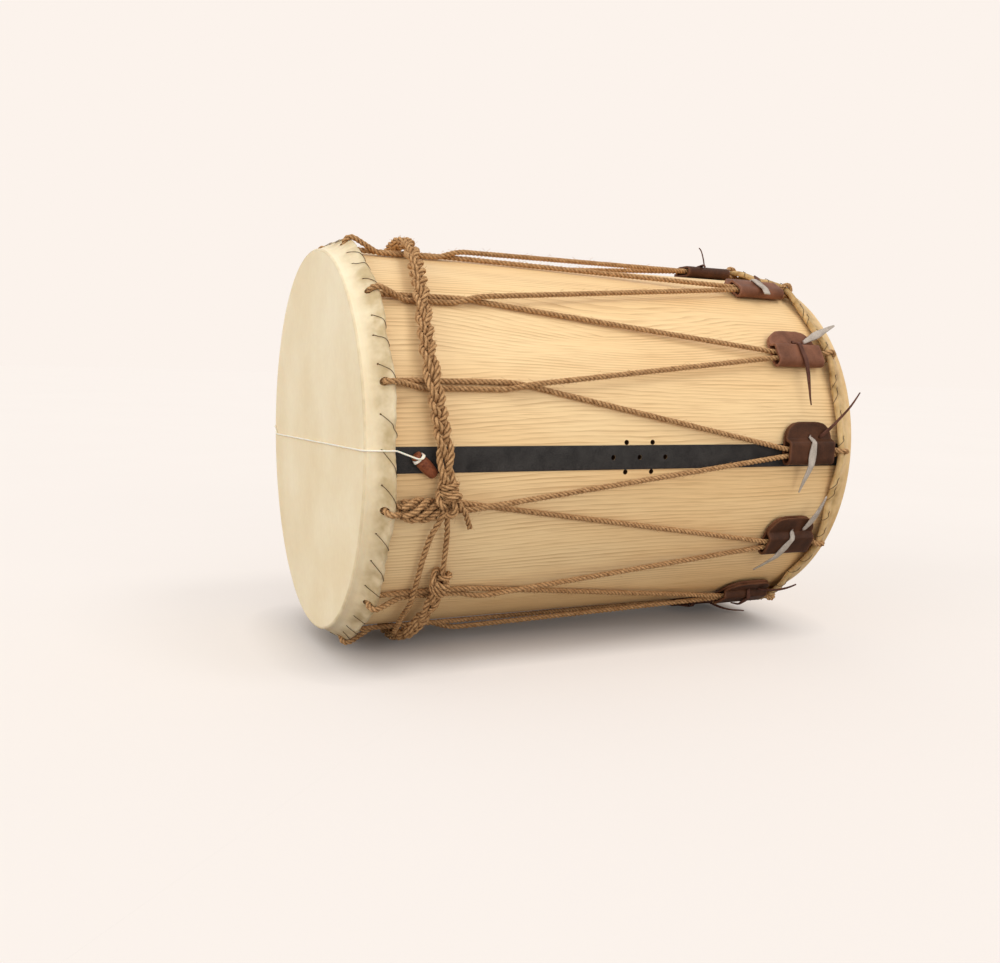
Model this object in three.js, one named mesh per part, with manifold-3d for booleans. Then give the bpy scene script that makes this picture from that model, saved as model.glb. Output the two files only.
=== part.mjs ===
// Rope-tension tabor drum lying on its side, built from the pieces a maker would cut, bend and tie.
// Millimetres, +Z up. The drum's axis runs along X, with the batter head at -X and the tugs at +X.
// A place on the drum is given by s, its distance along the axis from the batter head's face,
// r, its distance from the axis, and an angle in degrees round the axis, from the front (-Y) upwards.

import * as THREE from "three";
import { mergeVertices } from "three/addons/utils/BufferGeometryUtils.js";
import Module from "manifold-3d";

const wasm = await Module();
wasm.setup();

// Shell and heads
const drumLength = 462; // over both heads
const shellRadius = 163.9;
const shellWall = 7;
const bearingRound = 4; // rounding of the edge that a head is drawn over
const ringWidth = 24; // reinforcing ring inside each end of the shell
const ringThickness = 6;
const skinThickness = 0.8;
const hoopDiameter = 3.2; // cane that the hem of a head is rolled round
const hoopDepth = 20.75; // from a head's face to the middle of its cane
const rollStep = 60; // degrees between the corners of the rolled hem
const rollCorners = 5;
const roundSegments = 48;

// Seam strip and vents
const stripAngle = -1;
const stripWidth = 20;
const stripThickness = 0.6;
const stripInset = 10; // from a head's face to the end of the strip
const ventDiameter = 4.3;
const ventPitch = 25;
const ventMiddle = 234;
const ventRowOffset = 12.2;

// Tension rope
const ropeDiameter = 5;
const ropeSides = 6;
const pairCount = 12;
const pairHalf = 2.9; // half the spacing of two strands that lie side by side
const twistLength = 24;
// where each pair parts, tied by hand
const twistPlaces = [136, 109, 122, 118, 132, 134, 136, 130, 124, 124, 119, 92];
const pairShifts = [3.6, 0.6, 0, 0, 0, 0, 0, 0, 0, 0, 1.5, 1.6]; // degrees off each pair's even place
const hemSway = 1.6; // sideways step of a strand on its way round the hem
const ropeHoleDiameter = 6.6;

// Tugs and their laces
const tugLength = 50;
const tugEnd = 31; // from the lower head's face to the nearer end of a tug
const tugStandoff = 1.8; // room under a tug for its lace
const leather = 2;
const tunnelHeight = 6.4;
const tunnelHalf = 9.1;
const tunnelRopeHalf = 3;
const rampTop = 8;
const rampFoot = 10.7;
const flapReach = 27;
const flapRound = 12;
const foldRound = 2;
const slitOffset = 14.4;
const slitMiddle = 7; // nearer to the lower head than the middle of the tug
const slitHalf = 5.8;
const laceThickness = 1.3;
const laceWidth = 5.2;
const laceNeck = 3.2;
const laceTip = 1.6;
const laceStart = 1.2; // from a slit to where its lace lies down

// Loose ends of each lace: the way each points in degrees from the axis, its reach and its rise
const hiddenLace = { right: { turn: 50, reach: 40, rise: 8 }, left: { turn: 250, reach: 46 } };
const laces = new Array(pairCount).fill(hiddenLace);
laces[0] = { right: { turn: 47, reach: 54, rise: 9 }, left: { turn: 262, reach: 51 } };
laces[1] = { right: { turn: 22, reach: 37, rise: 8.5 }, left: { turn: 273, reach: 61 } };
laces[2] = { right: { turn: 80, reach: 26, rise: 5 }, left: { turn: 268, reach: 32 } };
laces[3] = { right: { turn: 150, reach: 20, rise: 24 }, left: { turn: 250, reach: 34 } };
laces[9] = { right: { turn: 45, reach: 40, rise: 8 }, left: { turn: 235, reach: 40 } };
laces[10] = { right: { turn: 50, reach: 36, rise: 7 }, left: { turn: 278, reach: 40 } };
laces[11] = { right: { turn: 81, reach: 40, rise: 4 }, left: { turn: 244, reach: 52 } };

// Carry rope: a plait from the upper knot over the top and round the back to the lower knot
const plaitWidth = 15;
const plaitThickness = 10.9;
const plaitStart = -7.8;
const plaitEnd = 320.2;
const plaitRoute = [
  [-10, 62], [2, 58.5], [14, 53.5], [30, 51], [55, 60], [84, 74],
  [120, 86], [180, 95], [240, 84], [274, 70], [300, 66.5], [322, 70],
]; // angle and s, tied by hand
const knotRopeRadius = 2.2;
const knotSize = 3.4;
const knotHeight = 4.8;
const knotOpening = 14; // degrees of the knot left open where the rope comes in and goes out
const upperKnot = { s: 62, angle: -11 };
const upperKnotLift = 2.6; // over the pair on its way down from the whipping
const lowerKnot = { s: 70.5, angle: -35.5 };
const tailSides = 6;

// Whipping round one pair
const whippedPair = 11;
const whipStart = 32;
const whipTurns = 3.25;
const whipSteps = 14;

// Snare and its toggle
const gutDiameter = 1.6;
const snareAngle = 1.6;
const snareFar = 179; // where it leaves the far side of the head
const toggleStart = 37;
const toggleAngle = 0.5;
const toggleLean = 43; // degrees downwards from the drum's axis
const toggleLength = 23;
const toggleRadius = 4.8;
const toggleNeck = 3;
const toggleCollar = 4.2;
const toggleTip = 1.7;
const toggleNeckAt = 4;
const toggleWideAt = 8;

// Clearances
const fit = 0.2; // between pieces that are glued or drawn tight
const gap = 0.3; // between pieces that touch
const ropeGap = 0.4; // between strands, and under them
const standCut = 0.5; // depth of the flat worn where the drum lies on its rope

// Values that follow
const ropeRadius = ropeDiameter / 2;
const hoopRadius = hoopDiameter / 2;
const gutRadius = gutDiameter / 2;
const rollInner = hoopRadius + fit;
const rollOuter = rollInner + skinThickness;
const shellEnd = skinThickness + fit; // from a head's face to the end of the shell
const shellBore = shellRadius - shellWall;
const stripTop = shellRadius + fit + stripThickness;
const underRadius = stripTop + fit + ropeRadius; // strand that runs under a hem
const rollRadius = underRadius + ropeRadius + gap + rollOuter; // middle of the rolled hem
const loopRadius = rollOuter + gap + ropeRadius; // rope round the hem
const pairRadius = shellRadius + ropeGap + ropeRadius;
const wrapRadius = 2 * ropeRadius + ropeGap + 0.1; // whipping round one strand
const liftRadius = shellRadius + ropeGap + ropeRadius + wrapRadius; // pair inside the whipping
const whipPitch = ropeDiameter + ropeGap + gap;
const whipFinish = whipStart + whipTurns * whipPitch;
const standRadius = rollRadius + loopRadius + ropeRadius - standCut;
const tugRadius = shellRadius + tugStandoff; // inner face of a tug
const tunnelRadius = tugRadius + leather + tunnelHeight - ropeGap - ropeRadius;
const tugFold = leather + tunnelHeight / 2; // outer radius of a tug's fold
const tugRoof = 2 * leather + tunnelHeight;
const tugMiddle = drumLength - tugEnd - tugLength / 2;
const tugMouth = tugEnd + tugLength;
const plaitInner = pairRadius + ropeRadius + ropeGap;
const plaitMiddle = plaitInner + plaitThickness / 2;
const pairStep = 360 / pairCount;

const radians = THREE.MathUtils.degToRad;
const degrees = THREE.MathUtils.radToDeg;

// Directions and places on the drum
function outward(angle) {
  return new THREE.Vector3(0, -Math.cos(radians(angle)), Math.sin(radians(angle)));
}

function along(angle) {
  return new THREE.Vector3(0, Math.sin(radians(angle)), Math.cos(radians(angle)));
}

function place(s, r, angle, side = 0) {
  const point = outward(angle).multiplyScalar(r);
  point.addScaledVector(along(angle), side);
  point.x = s - drumLength / 2;
  return point;
}

function pairAngle(pair) {
  return pairStep * (pair + 0.5) + pairShifts[pair];
}

// A point on a circle round the middle of a hem's cane; turn is 0 outwards and positive away from the head
function roundHem(radius, turn) {
  return {
    depth: hoopDepth + radius * Math.sin(radians(turn)),
    r: rollRadius + radius * Math.cos(radians(turn)),
  };
}

// Solids from geometries and back
function toSolid(geometry) {
  const bare = geometry.index ? geometry.toNonIndexed() : geometry.clone();
  bare.deleteAttribute("normal");
  bare.deleteAttribute("uv");
  const merged = mergeVertices(bare, 1e-4);
  const vertProperties = new Float32Array(merged.attributes.position.array);
  const triVerts = new Uint32Array(merged.index.array);
  return new wasm.Manifold(new wasm.Mesh({ numProp: 3, vertProperties, triVerts }));
}

function toGeometry(solid) {
  const mesh = solid.getMesh();
  const geometry = new THREE.BufferGeometry();
  geometry.setAttribute("position", new THREE.BufferAttribute(new Float32Array(mesh.vertProperties), 3));
  geometry.setIndex(new THREE.BufferAttribute(new Uint32Array(mesh.triVerts), 1));
  geometry.computeVertexNormals();
  return geometry;
}

function cutAway(geometry, cutters) {
  let solid = toSolid(geometry);
  for (const cutter of cutters) {
    solid = solid.subtract(toSolid(cutter));
  }
  return toGeometry(solid);
}

// Turned piece round the drum's axis, from a profile of [s, r] pairs
function turned(profile) {
  const points = profile.map(([s, r]) => new THREE.Vector2(r, s - drumLength / 2));
  const geometry = new THREE.LatheGeometry(points, roundSegments);
  geometry.rotateZ(-Math.PI / 2);
  return geometry;
}

// Skin through a row of rings, closed by flat ends
function loft(rings) {
  const sides = rings[0].length;
  const positions = rings.flat().flatMap((point) => [point.x, point.y, point.z]);
  const index = [];
  for (let i = 0; i + 1 < rings.length; i += 1) {
    for (let j = 0; j < sides; j += 1) {
      const a = i * sides + j;
      const b = i * sides + ((j + 1) % sides);
      index.push(a, b, a + sides);
      index.push(b, b + sides, a + sides);
    }
  }
  const last = (rings.length - 1) * sides;
  for (let j = 1; j + 1 < sides; j += 1) {
    index.push(0, j + 1, j);
    index.push(last, last + j, last + j + 1);
  }
  const geometry = new THREE.BufferGeometry();
  geometry.setAttribute("position", new THREE.Float32BufferAttribute(positions, 3));
  geometry.setIndex(index);
  geometry.computeVertexNormals();
  return geometry;
}

function directions(points) {
  return points.map((point, i) => {
    const before = points[Math.max(i - 1, 0)];
    const after = points[Math.min(i + 1, points.length - 1)];
    return after.clone().sub(before).normalize();
  });
}

// Round tube with one ring at each point, carried along without twisting
function tube(points, radius, sides) {
  const ways = directions(points);
  const across = new THREE.Vector3(0, 0, 1);
  if (Math.abs(across.dot(ways[0])) > 0.9) {
    across.set(0, 1, 0);
  }
  const rings = points.map((point, i) => {
    across.addScaledVector(ways[i], -across.dot(ways[i])).normalize();
    const third = ways[i].clone().cross(across);
    const ring = [];
    for (let j = 0; j < sides; j += 1) {
      const turn = (2 * Math.PI * j) / sides;
      const corner = point.clone();
      corner.addScaledVector(across, radius * Math.cos(turn));
      corner.addScaledVector(third, radius * Math.sin(turn));
      ring.push(corner);
    }
    return ring;
  });
  return loft(rings);
}

// Least gap of a round tube to itself, measured on points a short step apart
function selfGap(points, diameter, stepLength = 2) {
  const samples = [];
  let travelled = 0;
  for (let i = 0; i + 1 < points.length; i += 1) {
    const length = points[i].distanceTo(points[i + 1]);
    const count = Math.max(1, Math.ceil(length / stepLength));
    for (let j = 0; j < count; j += 1) {
      samples.push({
        point: points[i].clone().lerp(points[i + 1], j / count),
        at: travelled + (length * j) / count,
      });
    }
    travelled += length;
  }
  let least = Infinity;
  for (let i = 0; i < samples.length; i += 1) {
    for (let j = i + 1; j < samples.length; j += 1) {
      if (samples[j].at - samples[i].at > 3 * diameter) {
        least = Math.min(least, samples[i].point.distanceTo(samples[j].point));
      }
    }
  }
  return least - diameter;
}

// The drum's group, and one named piece of it
const drum = new THREE.Group();
drum.name = "tabor_drum";

const looks = {
  wood: { color: 0xf0d9a8, roughness: 0.55 },
  innerWood: { color: 0xd9b987, roughness: 0.65 },
  batterSkin: { color: 0xf1e6cf, roughness: 0.5 },
  lowerSkin: { color: 0xdcb878, roughness: 0.5 },
  cane: { color: 0xb98d55, roughness: 0.6 },
  rope: { color: 0x9a6b42, roughness: 0.85 },
  blackLeather: { color: 0x1b1715, roughness: 0.6 },
  tugLeather: { color: 0x6b4238, roughness: 0.6 },
  laceLeather: { color: 0x8c6f60, roughness: 0.7 },
  toggleLeather: { color: 0x7a4030, roughness: 0.55 },
  gut: { color: 0xf2ead8, roughness: 0.45 },
};

function addPiece(name, geometry, look) {
  const material = new THREE.MeshStandardMaterial({ ...looks[look], metalness: 0 });
  const mesh = new THREE.Mesh(geometry, material);
  mesh.name = name;
  drum.add(mesh);
}

// Cylinder that points outwards from the axis
function radialPeg(s, angle, diameter, from, to) {
  const geometry = new THREE.CylinderGeometry(diameter / 2, diameter / 2, to - from, 8);
  const turn = new THREE.Quaternion().setFromUnitVectors(new THREE.Vector3(0, 1, 0), outward(angle));
  geometry.applyQuaternion(turn);
  const middle = place(s, (from + to) / 2, angle);
  geometry.translate(middle.x, middle.y, middle.z);
  return geometry;
}

// Everything below the ground that the drum lies on
function ground() {
  const size = 2 * drumLength;
  const geometry = new THREE.BoxGeometry(size, size, size);
  geometry.translate(0, 0, -standRadius - size / 2);
  return geometry;
}

// Vents: two, three and two in rows, the middle row through the seam strip
const ventPegs = [];
for (const row of [-1, 0, 1]) {
  const count = row === 0 ? 3 : 2;
  const angle = stripAngle + degrees((row * ventRowOffset) / shellRadius);
  for (let i = 0; i < count; i += 1) {
    const s = ventMiddle + (i - (count - 1) / 2) * ventPitch;
    ventPegs.push(radialPeg(s, angle, ventDiameter, shellBore - shellWall, stripTop + shellWall));
  }
}

// Shell, rounded where the heads bear on it
function shellProfile() {
  const corner = bearingRound * (1 - Math.SQRT1_2);
  const half = [
    [shellEnd, shellBore],
    [shellEnd, shellRadius - bearingRound],
    [shellEnd + corner, shellRadius - corner],
    [shellEnd + bearingRound, shellRadius],
  ];
  const mirrored = half.map(([s, r]) => [drumLength - s, r]).reverse();
  return [...half, ...mirrored, half[0]];
}

addPiece("shell", cutAway(turned(shellProfile()), ventPegs), "wood");

// Reinforcing rings inside the shell's ends
function ringAt(turnedRound) {
  const outer = shellBore - gap;
  const inner = outer - ringThickness;
  const far = shellEnd + ringWidth;
  const corners = [[shellEnd, inner], [shellEnd, outer], [far, outer], [far, inner], [shellEnd, inner]];
  const geometry = turned(corners);
  geometry.rotateZ(turnedRound);
  return geometry;
}

addPiece("batter_reinforcing_ring", ringAt(0), "innerWood");
addPiece("lower_reinforcing_ring", ringAt(Math.PI), "innerWood");

// Seam strip, bent to the shell
function seamStrip() {
  const inner = shellRadius + fit;
  const halfAngle = degrees(stripWidth / 2 / shellRadius);
  const steps = 4;
  const ring = (s) => {
    const corners = [];
    for (let i = 0; i <= steps; i += 1) {
      corners.push(place(s, inner, stripAngle - halfAngle + (2 * halfAngle * i) / steps));
    }
    for (let i = steps; i >= 0; i -= 1) {
      corners.push(place(s, stripTop, stripAngle - halfAngle + (2 * halfAngle * i) / steps));
    }
    return corners;
  };
  return cutAway(loft([ring(stripInset), ring(drumLength - stripInset)]), ventPegs.slice(2, 5));
}

addPiece("seam_strip", seamStrip(), "blackLeather");

// Head: a skin over the bearing edge, flared to a hem rolled round the cane and left open at its tuck
const edgeMiddle = { depth: shellEnd + bearingRound, r: shellRadius - bearingRound };
const edgeOuter = bearingRound + shellEnd;
const flareRise = rollRadius - (edgeMiddle.r + edgeOuter);
const flareRun = hoopDepth - edgeMiddle.depth;
const flareTurn = Math.atan2(flareRise, flareRun) + Math.asin(rollOuter / Math.hypot(flareRise, flareRun));
const rollTurns = Array.from({ length: rollCorners }, (_, i) => -degrees(flareTurn) + i * rollStep);

function edgePoint(radius, turn) {
  const depth = edgeMiddle.depth - radius * Math.sin(radians(turn));
  return [depth, edgeMiddle.r + radius * Math.cos(radians(turn))];
}

function rollPoint(radius, turn) {
  const { depth, r } = roundHem(radius, turn);
  return [depth, r];
}

function headAt(holeAngles, turnedRound) {
  const edgeTurns = [90, 45, 0];
  const outside = [
    ...edgeTurns.map((turn) => edgePoint(edgeOuter, turn)),
    ...rollTurns.map((turn) => rollPoint(rollOuter, turn)),
  ];
  const edgeInner = edgeOuter - skinThickness;
  const inside = [
    ...edgeTurns.map((turn) => edgePoint(edgeInner, turn)),
    ...rollTurns.map((turn) => rollPoint(rollInner, turn)),
  ];
  const profile = [[0, 0], ...outside, ...inside.reverse(), [skinThickness, 0]];
  const holeDepth = hoopDepth - loopRadius;
  const holes = holeAngles.map((angle) => {
    return radialPeg(holeDepth, angle, ropeHoleDiameter, shellRadius, rollRadius + loopRadius);
  });
  const geometry = cutAway(turned(profile), holes);
  geometry.rotateZ(turnedRound);
  return geometry;
}

const pairs = Array.from({ length: pairCount }, (_, k) => k);
addPiece("batter_head", headAt(pairs.map(pairAngle), 0), "batterSkin");
addPiece("lower_head", headAt(pairs.map((k) => k * pairStep), Math.PI), "lowerSkin");

// Flesh hoop: the cane inside a hem, with its corners in line with the roll's
function hoopAt(turnedRound) {
  const profile = [];
  for (let turn = 0; turn <= 360; turn += rollStep) {
    profile.push(rollPoint(hoopRadius, turn - degrees(flareTurn)));
  }
  const geometry = turned(profile);
  geometry.rotateZ(turnedRound);
  return geometry;
}

addPiece("batter_flesh_hoop", hoopAt(0), "cane");
addPiece("lower_flesh_hoop", hoopAt(Math.PI), "cane");

// Tension rope: out under one hem, round it, back over it, and across to the other end in twelve V's
const hemTurns = [-180, -150, -120, -90, -60, -30, 0];
const batterLeave = 35; // degrees past the top of the hem where the rope leaves it
const lowerLeave = 55;

function hemLoop(toS, angle, leave, side) {
  return [...hemTurns, leave / 2, leave].map((turn) => {
    const { depth, r } = roundHem(loopRadius, turn);
    const sway = side * hemSway * Math.max(-1, Math.cos(radians(turn)));
    return place(toS(depth), r, angle, sway);
  });
}

// Where the rope that leaves a hem at its leave angle comes down to a radius
function landing(leave, radius) {
  const start = roundHem(loopRadius, leave);
  return start.depth + (start.r - radius) / Math.tan(radians(leave));
}

// The two strands of a pair wind a quarter turn round each other before they part
function twisted(pair, quarter, strand) {
  const angle = pairAngle(pair);
  const turn = radians(90 * quarter);
  const s = twistPlaces[pair] - twistLength * (1 - quarter);
  const lift = strand > 0 ? 0 : 2 * pairHalf * Math.sin(turn);
  return place(s, pairRadius + lift, angle, strand * pairHalf * Math.cos(turn));
}

function pairStrand(pair, strand) {
  const angle = pairAngle(pair);
  const side = strand * pairHalf;
  const hemClear = hoopDepth + rollOuter + gap;
  const points = [];
  if (pair === whippedPair) {
    points.push(place(whipStart - ropeRadius, liftRadius, angle, side));
    points.push(place(whipFinish + ropeRadius, liftRadius, angle, side));
    points.push(place(whipFinish + 2 * ropeDiameter, pairRadius, angle, side));
  } else {
    points.push(place(landing(batterLeave, pairRadius), pairRadius, angle, side));
  }
  if (strand > 0) {
    points.unshift(place(hemClear, underRadius, angle, (side + hemSway) / 2));
  }
  for (const quarter of [0, 1 / 3, 2 / 3, 1]) {
    points.push(twisted(pair, quarter, strand));
  }
  return points;
}

function tensionRope() {
  const fromBatter = (depth) => depth;
  const fromLower = (depth) => drumLength - depth;
  const runs = [];
  for (let k = 0; k < pairCount; k += 1) {
    const pair = (whippedPair + k) % pairCount;
    const tug = pairStep * (pair + 1);
    const nextPair = (pair + 1) % pairCount;
    const arrive = [
      place(drumLength - tugMouth, tunnelRadius, tug, -tunnelRopeHalf),
      place(drumLength - tugEnd, tunnelRadius, tug, -tunnelRopeHalf),
      place(drumLength - hoopDepth - rollOuter, underRadius, tug, -tunnelRopeHalf),
    ];
    const leave = [
      place(drumLength - landing(lowerLeave, tunnelRadius), tunnelRadius, tug, tunnelRopeHalf),
      place(drumLength - tugEnd, tunnelRadius, tug, tunnelRopeHalf),
      place(drumLength - tugMouth, tunnelRadius, tug, tunnelRopeHalf),
    ];
    runs.push(...pairStrand(pair, -1), ...arrive);
    runs.push(...hemLoop(fromLower, tug, lowerLeave, 1), ...leave);
    runs.push(...pairStrand(nextPair, 1).reverse());
    runs.push(...hemLoop(fromBatter, pairAngle(nextPair), batterLeave, -1));
  }
  const whipMiddle = (whipStart + whipFinish) / 2;
  const whippedAngle = pairAngle(whippedPair);
  const endApart = ropeRadius + ropeGap; // both ends are made off inside the whipping
  runs[0] = place(whipMiddle + endApart, liftRadius, whippedAngle, -pairHalf);
  runs.push(place(whipStart - ropeRadius, liftRadius, whippedAngle, -pairHalf));
  runs.push(place(whipMiddle - endApart, liftRadius, whippedAngle, -pairHalf));
  console.log("tension rope, least gap to itself:", selfGap(runs, ropeDiameter).toFixed(2));
  return cutAway(tube(runs, ropeRadius, ropeSides), [ground()]);
}

addPiece("tension_rope", tensionRope(), "rope");

// Whipping: turns of rope round both strands of one pair
function ropeWhipping() {
  const angle = pairAngle(whippedPair);
  const arcLength = Math.PI * wrapRadius;
  const perimeter = 2 * arcLength + 4 * pairHalf;
  const points = [];
  const steps = Math.round(whipTurns * whipSteps);
  for (let i = 0; i <= steps; i += 1) {
    const turns = i / whipSteps;
    const walked = ((turns % 1) * perimeter + perimeter) % perimeter;
    const half = walked < perimeter / 2 ? 1 : -1;
    const rest = walked % (perimeter / 2);
    const turn = Math.min(rest / wrapRadius, Math.PI);
    const slid = Math.max(0, rest - arcLength);
    const side = half * (pairHalf + wrapRadius * Math.sin(turn)) - half * slid;
    const height = half * wrapRadius * Math.cos(turn);
    points.push(place(whipStart + turns * whipPitch, liftRadius + height, angle, side));
  }
  console.log("whipping, least gap to itself:", selfGap(points, ropeDiameter, 0.5).toFixed(2));
  return tube(points, ropeRadius, ropeSides);
}

addPiece("rope_whipping", ropeWhipping(), "rope");

// Carry rope: the plait lies over the strands and is worn flat where the drum lies on it
const plaitMarks = plaitRoute.map(([angle, s]) => new THREE.Vector3(angle, s, 0));
const plaitCurve = new THREE.CatmullRomCurve3(plaitMarks, false, "centripetal");
const plaitTable = plaitCurve.getPoints(120);

function plaitS(angle) {
  const next = Math.max(1, plaitTable.findIndex((point) => point.x >= angle));
  const from = plaitTable[next - 1];
  const to = plaitTable[next];
  return from.y + ((to.y - from.y) * (angle - from.x)) / (to.x - from.x);
}

function carryPlait() {
  const steps = 46;
  const sides = 8;
  const points = [];
  const angles = [];
  for (let i = 0; i <= steps; i += 1) {
    const angle = plaitStart + ((plaitEnd - plaitStart) * i) / steps;
    angles.push(angle);
    points.push(place(plaitS(angle), plaitMiddle, angle));
  }
  const ways = directions(points);
  const rings = points.map((point, i) => {
    const up = outward(angles[i]);
    up.addScaledVector(ways[i], -up.dot(ways[i])).normalize();
    const across = ways[i].clone().cross(up);
    return Array.from({ length: sides }, (_, j) => {
      const turn = (2 * Math.PI * (j + 0.5)) / sides;
      const corner = point.clone();
      corner.addScaledVector(up, ((plaitThickness / 2) * Math.cos(turn)) / Math.cos(Math.PI / sides));
      corner.addScaledVector(across, (plaitWidth / 2) * Math.sin(turn));
      return corner;
    });
  });
  return cutAway(loft(rings), [ground()]);
}

addPiece("carry_rope_plait", carryPlait(), "rope");

// Overhand knot drawn up close, lying flat on the strands
function knotAt({ s, angle }, r) {
  const steps = 36;
  const points = [];
  for (let i = 0; i <= steps; i += 1) {
    const turn = radians(knotOpening + ((360 - 2 * knotOpening) * i) / steps);
    const across = knotSize * (Math.sin(turn) + 2 * Math.sin(2 * turn));
    const side = knotSize * (Math.cos(turn) - 2 * Math.cos(2 * turn));
    const height = -knotHeight * Math.sin(3 * turn);
    points.push(place(s + across, r + height, angle, side));
  }
  console.log("knot, least gap to itself:", selfGap(points, 2 * knotRopeRadius, 0.5).toFixed(2));
  return tube(points, knotRopeRadius, ropeSides);
}

const knotHalf = knotHeight + knotRopeRadius;
const upperKnotRadius = pairRadius + ropeRadius + upperKnotLift + knotHalf;
const lowerKnotRadius = shellRadius + ropeGap + knotHalf;

addPiece("carry_rope_upper_knot", knotAt(upperKnot, upperKnotRadius), "rope");
addPiece("carry_rope_lower_knot", knotAt(lowerKnot, lowerKnotRadius), "rope");

// Plain tails between the knots and a free end, each through places tied by hand
function tail(route) {
  const marks = route.map(([s, r, angle]) => place(s, r, angle));
  const curve = new THREE.CatmullRomCurve3(marks, false, "centripetal");
  const steps = 3 * (route.length - 1);
  return tube(curve.getPoints(steps), ropeRadius, tailSides);
}

const overPair = pairRadius + 2 * ropeRadius + ropeGap;
const rearTail = [
  [57, overPair + 4, -16.4], [53.5, overPair + 0.6, -21], [52, overPair - 2, -27],
  [51.5, overPair - 2, -37], [51.5, overPair + gap, -45],
  [52, overPair - 1.6, -54], [53.4, overPair, -61], [55, overPair + 2, -66],
];
const frontTail = [
  [63.6, overPair + 3.6, -15.6], [66.4, overPair + 0.4, -20],
  [68.8, overPair - 2, -26], [70.5, lowerKnotRadius, -33],
];
const freeEnd = [
  [73.5, overPair + 5, -12.6], [78, overPair + 3.4, -14.4], [84.5, overPair - 1, -18.4],
];

addPiece("carry_rope_rear_tail", tail(rearTail), "rope");
addPiece("carry_rope_front_tail", tail(frontTail), "rope");
addPiece("carry_rope_free_end", tail(freeEnd), "rope");

// Snare toggle: a tapered leather plug wedged between the seam strip and the carry rope
const toggleFoot = stripTop + 2 * gap;
const toggleSlope = (toggleRadius - toggleTip) / (toggleLength - toggleWideAt);

const toggleRun = toggleLength * Math.cos(Math.atan(toggleSlope));
const toggleFar = toggleAngle - degrees((toggleRun * Math.sin(radians(toggleLean))) / shellRadius);
const toggleFrom = place(toggleStart, toggleFoot + toggleRadius + toggleWideAt * toggleSlope, toggleAngle);
const toggleEnd = toggleStart + toggleRun * Math.cos(radians(toggleLean));
const toggleTo = place(toggleEnd, toggleFoot + toggleTip, toggleFar);
const toggleWay = toggleTo.clone().sub(toggleFrom).normalize();
const toggleSide = outward(toggleAngle).cross(toggleWay).normalize();
const toggleUp = toggleWay.clone().cross(toggleSide);

function snareToggle() {
  const profile = [
    [0, 0], [toggleCollar - 0.8, 0], [toggleCollar, 0.8], [toggleCollar, toggleNeckAt - 1.8],
    [toggleNeck, toggleNeckAt - 1.2], [toggleNeck, toggleNeckAt + 1.2], [toggleRadius, toggleWideAt - 1],
    [toggleRadius, toggleWideAt], [toggleTip, toggleLength - 1],
    [toggleTip * 0.6, toggleLength], [0, toggleLength],
  ];
  const geometry = new THREE.LatheGeometry(profile.map(([r, z]) => new THREE.Vector2(r, z)), 12);
  const turn = new THREE.Quaternion().setFromUnitVectors(new THREE.Vector3(0, 1, 0), toggleWay);
  geometry.applyQuaternion(turn);
  geometry.translate(toggleFrom.x, toggleFrom.y, toggleFrom.z);
  return geometry;
}

addPiece("snare_toggle", snareToggle(), "toggleLeather");

// Snare: gut from the toggle over the hem, across the head and over the far hem to the carry rope
function snareGut() {
  const lift = gap + gutRadius;
  const points = [];
  const loop = toggleNeck + ropeGap + gutRadius;
  const roundToggle = (z, radius, turn) => {
    const point = toggleFrom.clone().addScaledVector(toggleWay, z);
    point.addScaledVector(toggleUp, radius * Math.cos(radians(turn)));
    return point.addScaledVector(toggleSide, radius * Math.sin(radians(turn)));
  };
  for (let turn = 280; turn >= 20; turn -= 26) {
    points.push(roundToggle(toggleNeckAt, loop, turn));
  }
  points.push(roundToggle(toggleNeckAt - 1.2, loop + 0.7, -10));
  points.push(roundToggle(toggleNeckAt - 3, toggleCollar + ropeGap + gutRadius, -22));
  const overHem = [55, 10, -35].map((turn) => roundHem(rollOuter + lift, turn));
  const overEdge = [25, 55, 90].map((turn) => edgePoint(edgeOuter + lift, turn));
  const nearSide = [...overHem.map(({ depth, r }) => [depth, r]), ...overEdge];
  for (const [s, r] of nearSide) {
    points.push(place(s, r, snareAngle));
  }
  for (const [s, r] of nearSide.reverse()) {
    points.push(place(s, r, snareFar));
  }
  const plaitEdge = plaitS(snareFar) - plaitWidth / 2;
  points.push(place(plaitEdge - gap, plaitMiddle, snareFar));
  console.log("snare, least gap to itself:", selfGap(points, gutDiameter, 0.5).toFixed(2));
  return tube(points, gutRadius, ropeSides);
}

addPiece("snare_gut", snareGut(), "gut");

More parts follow.
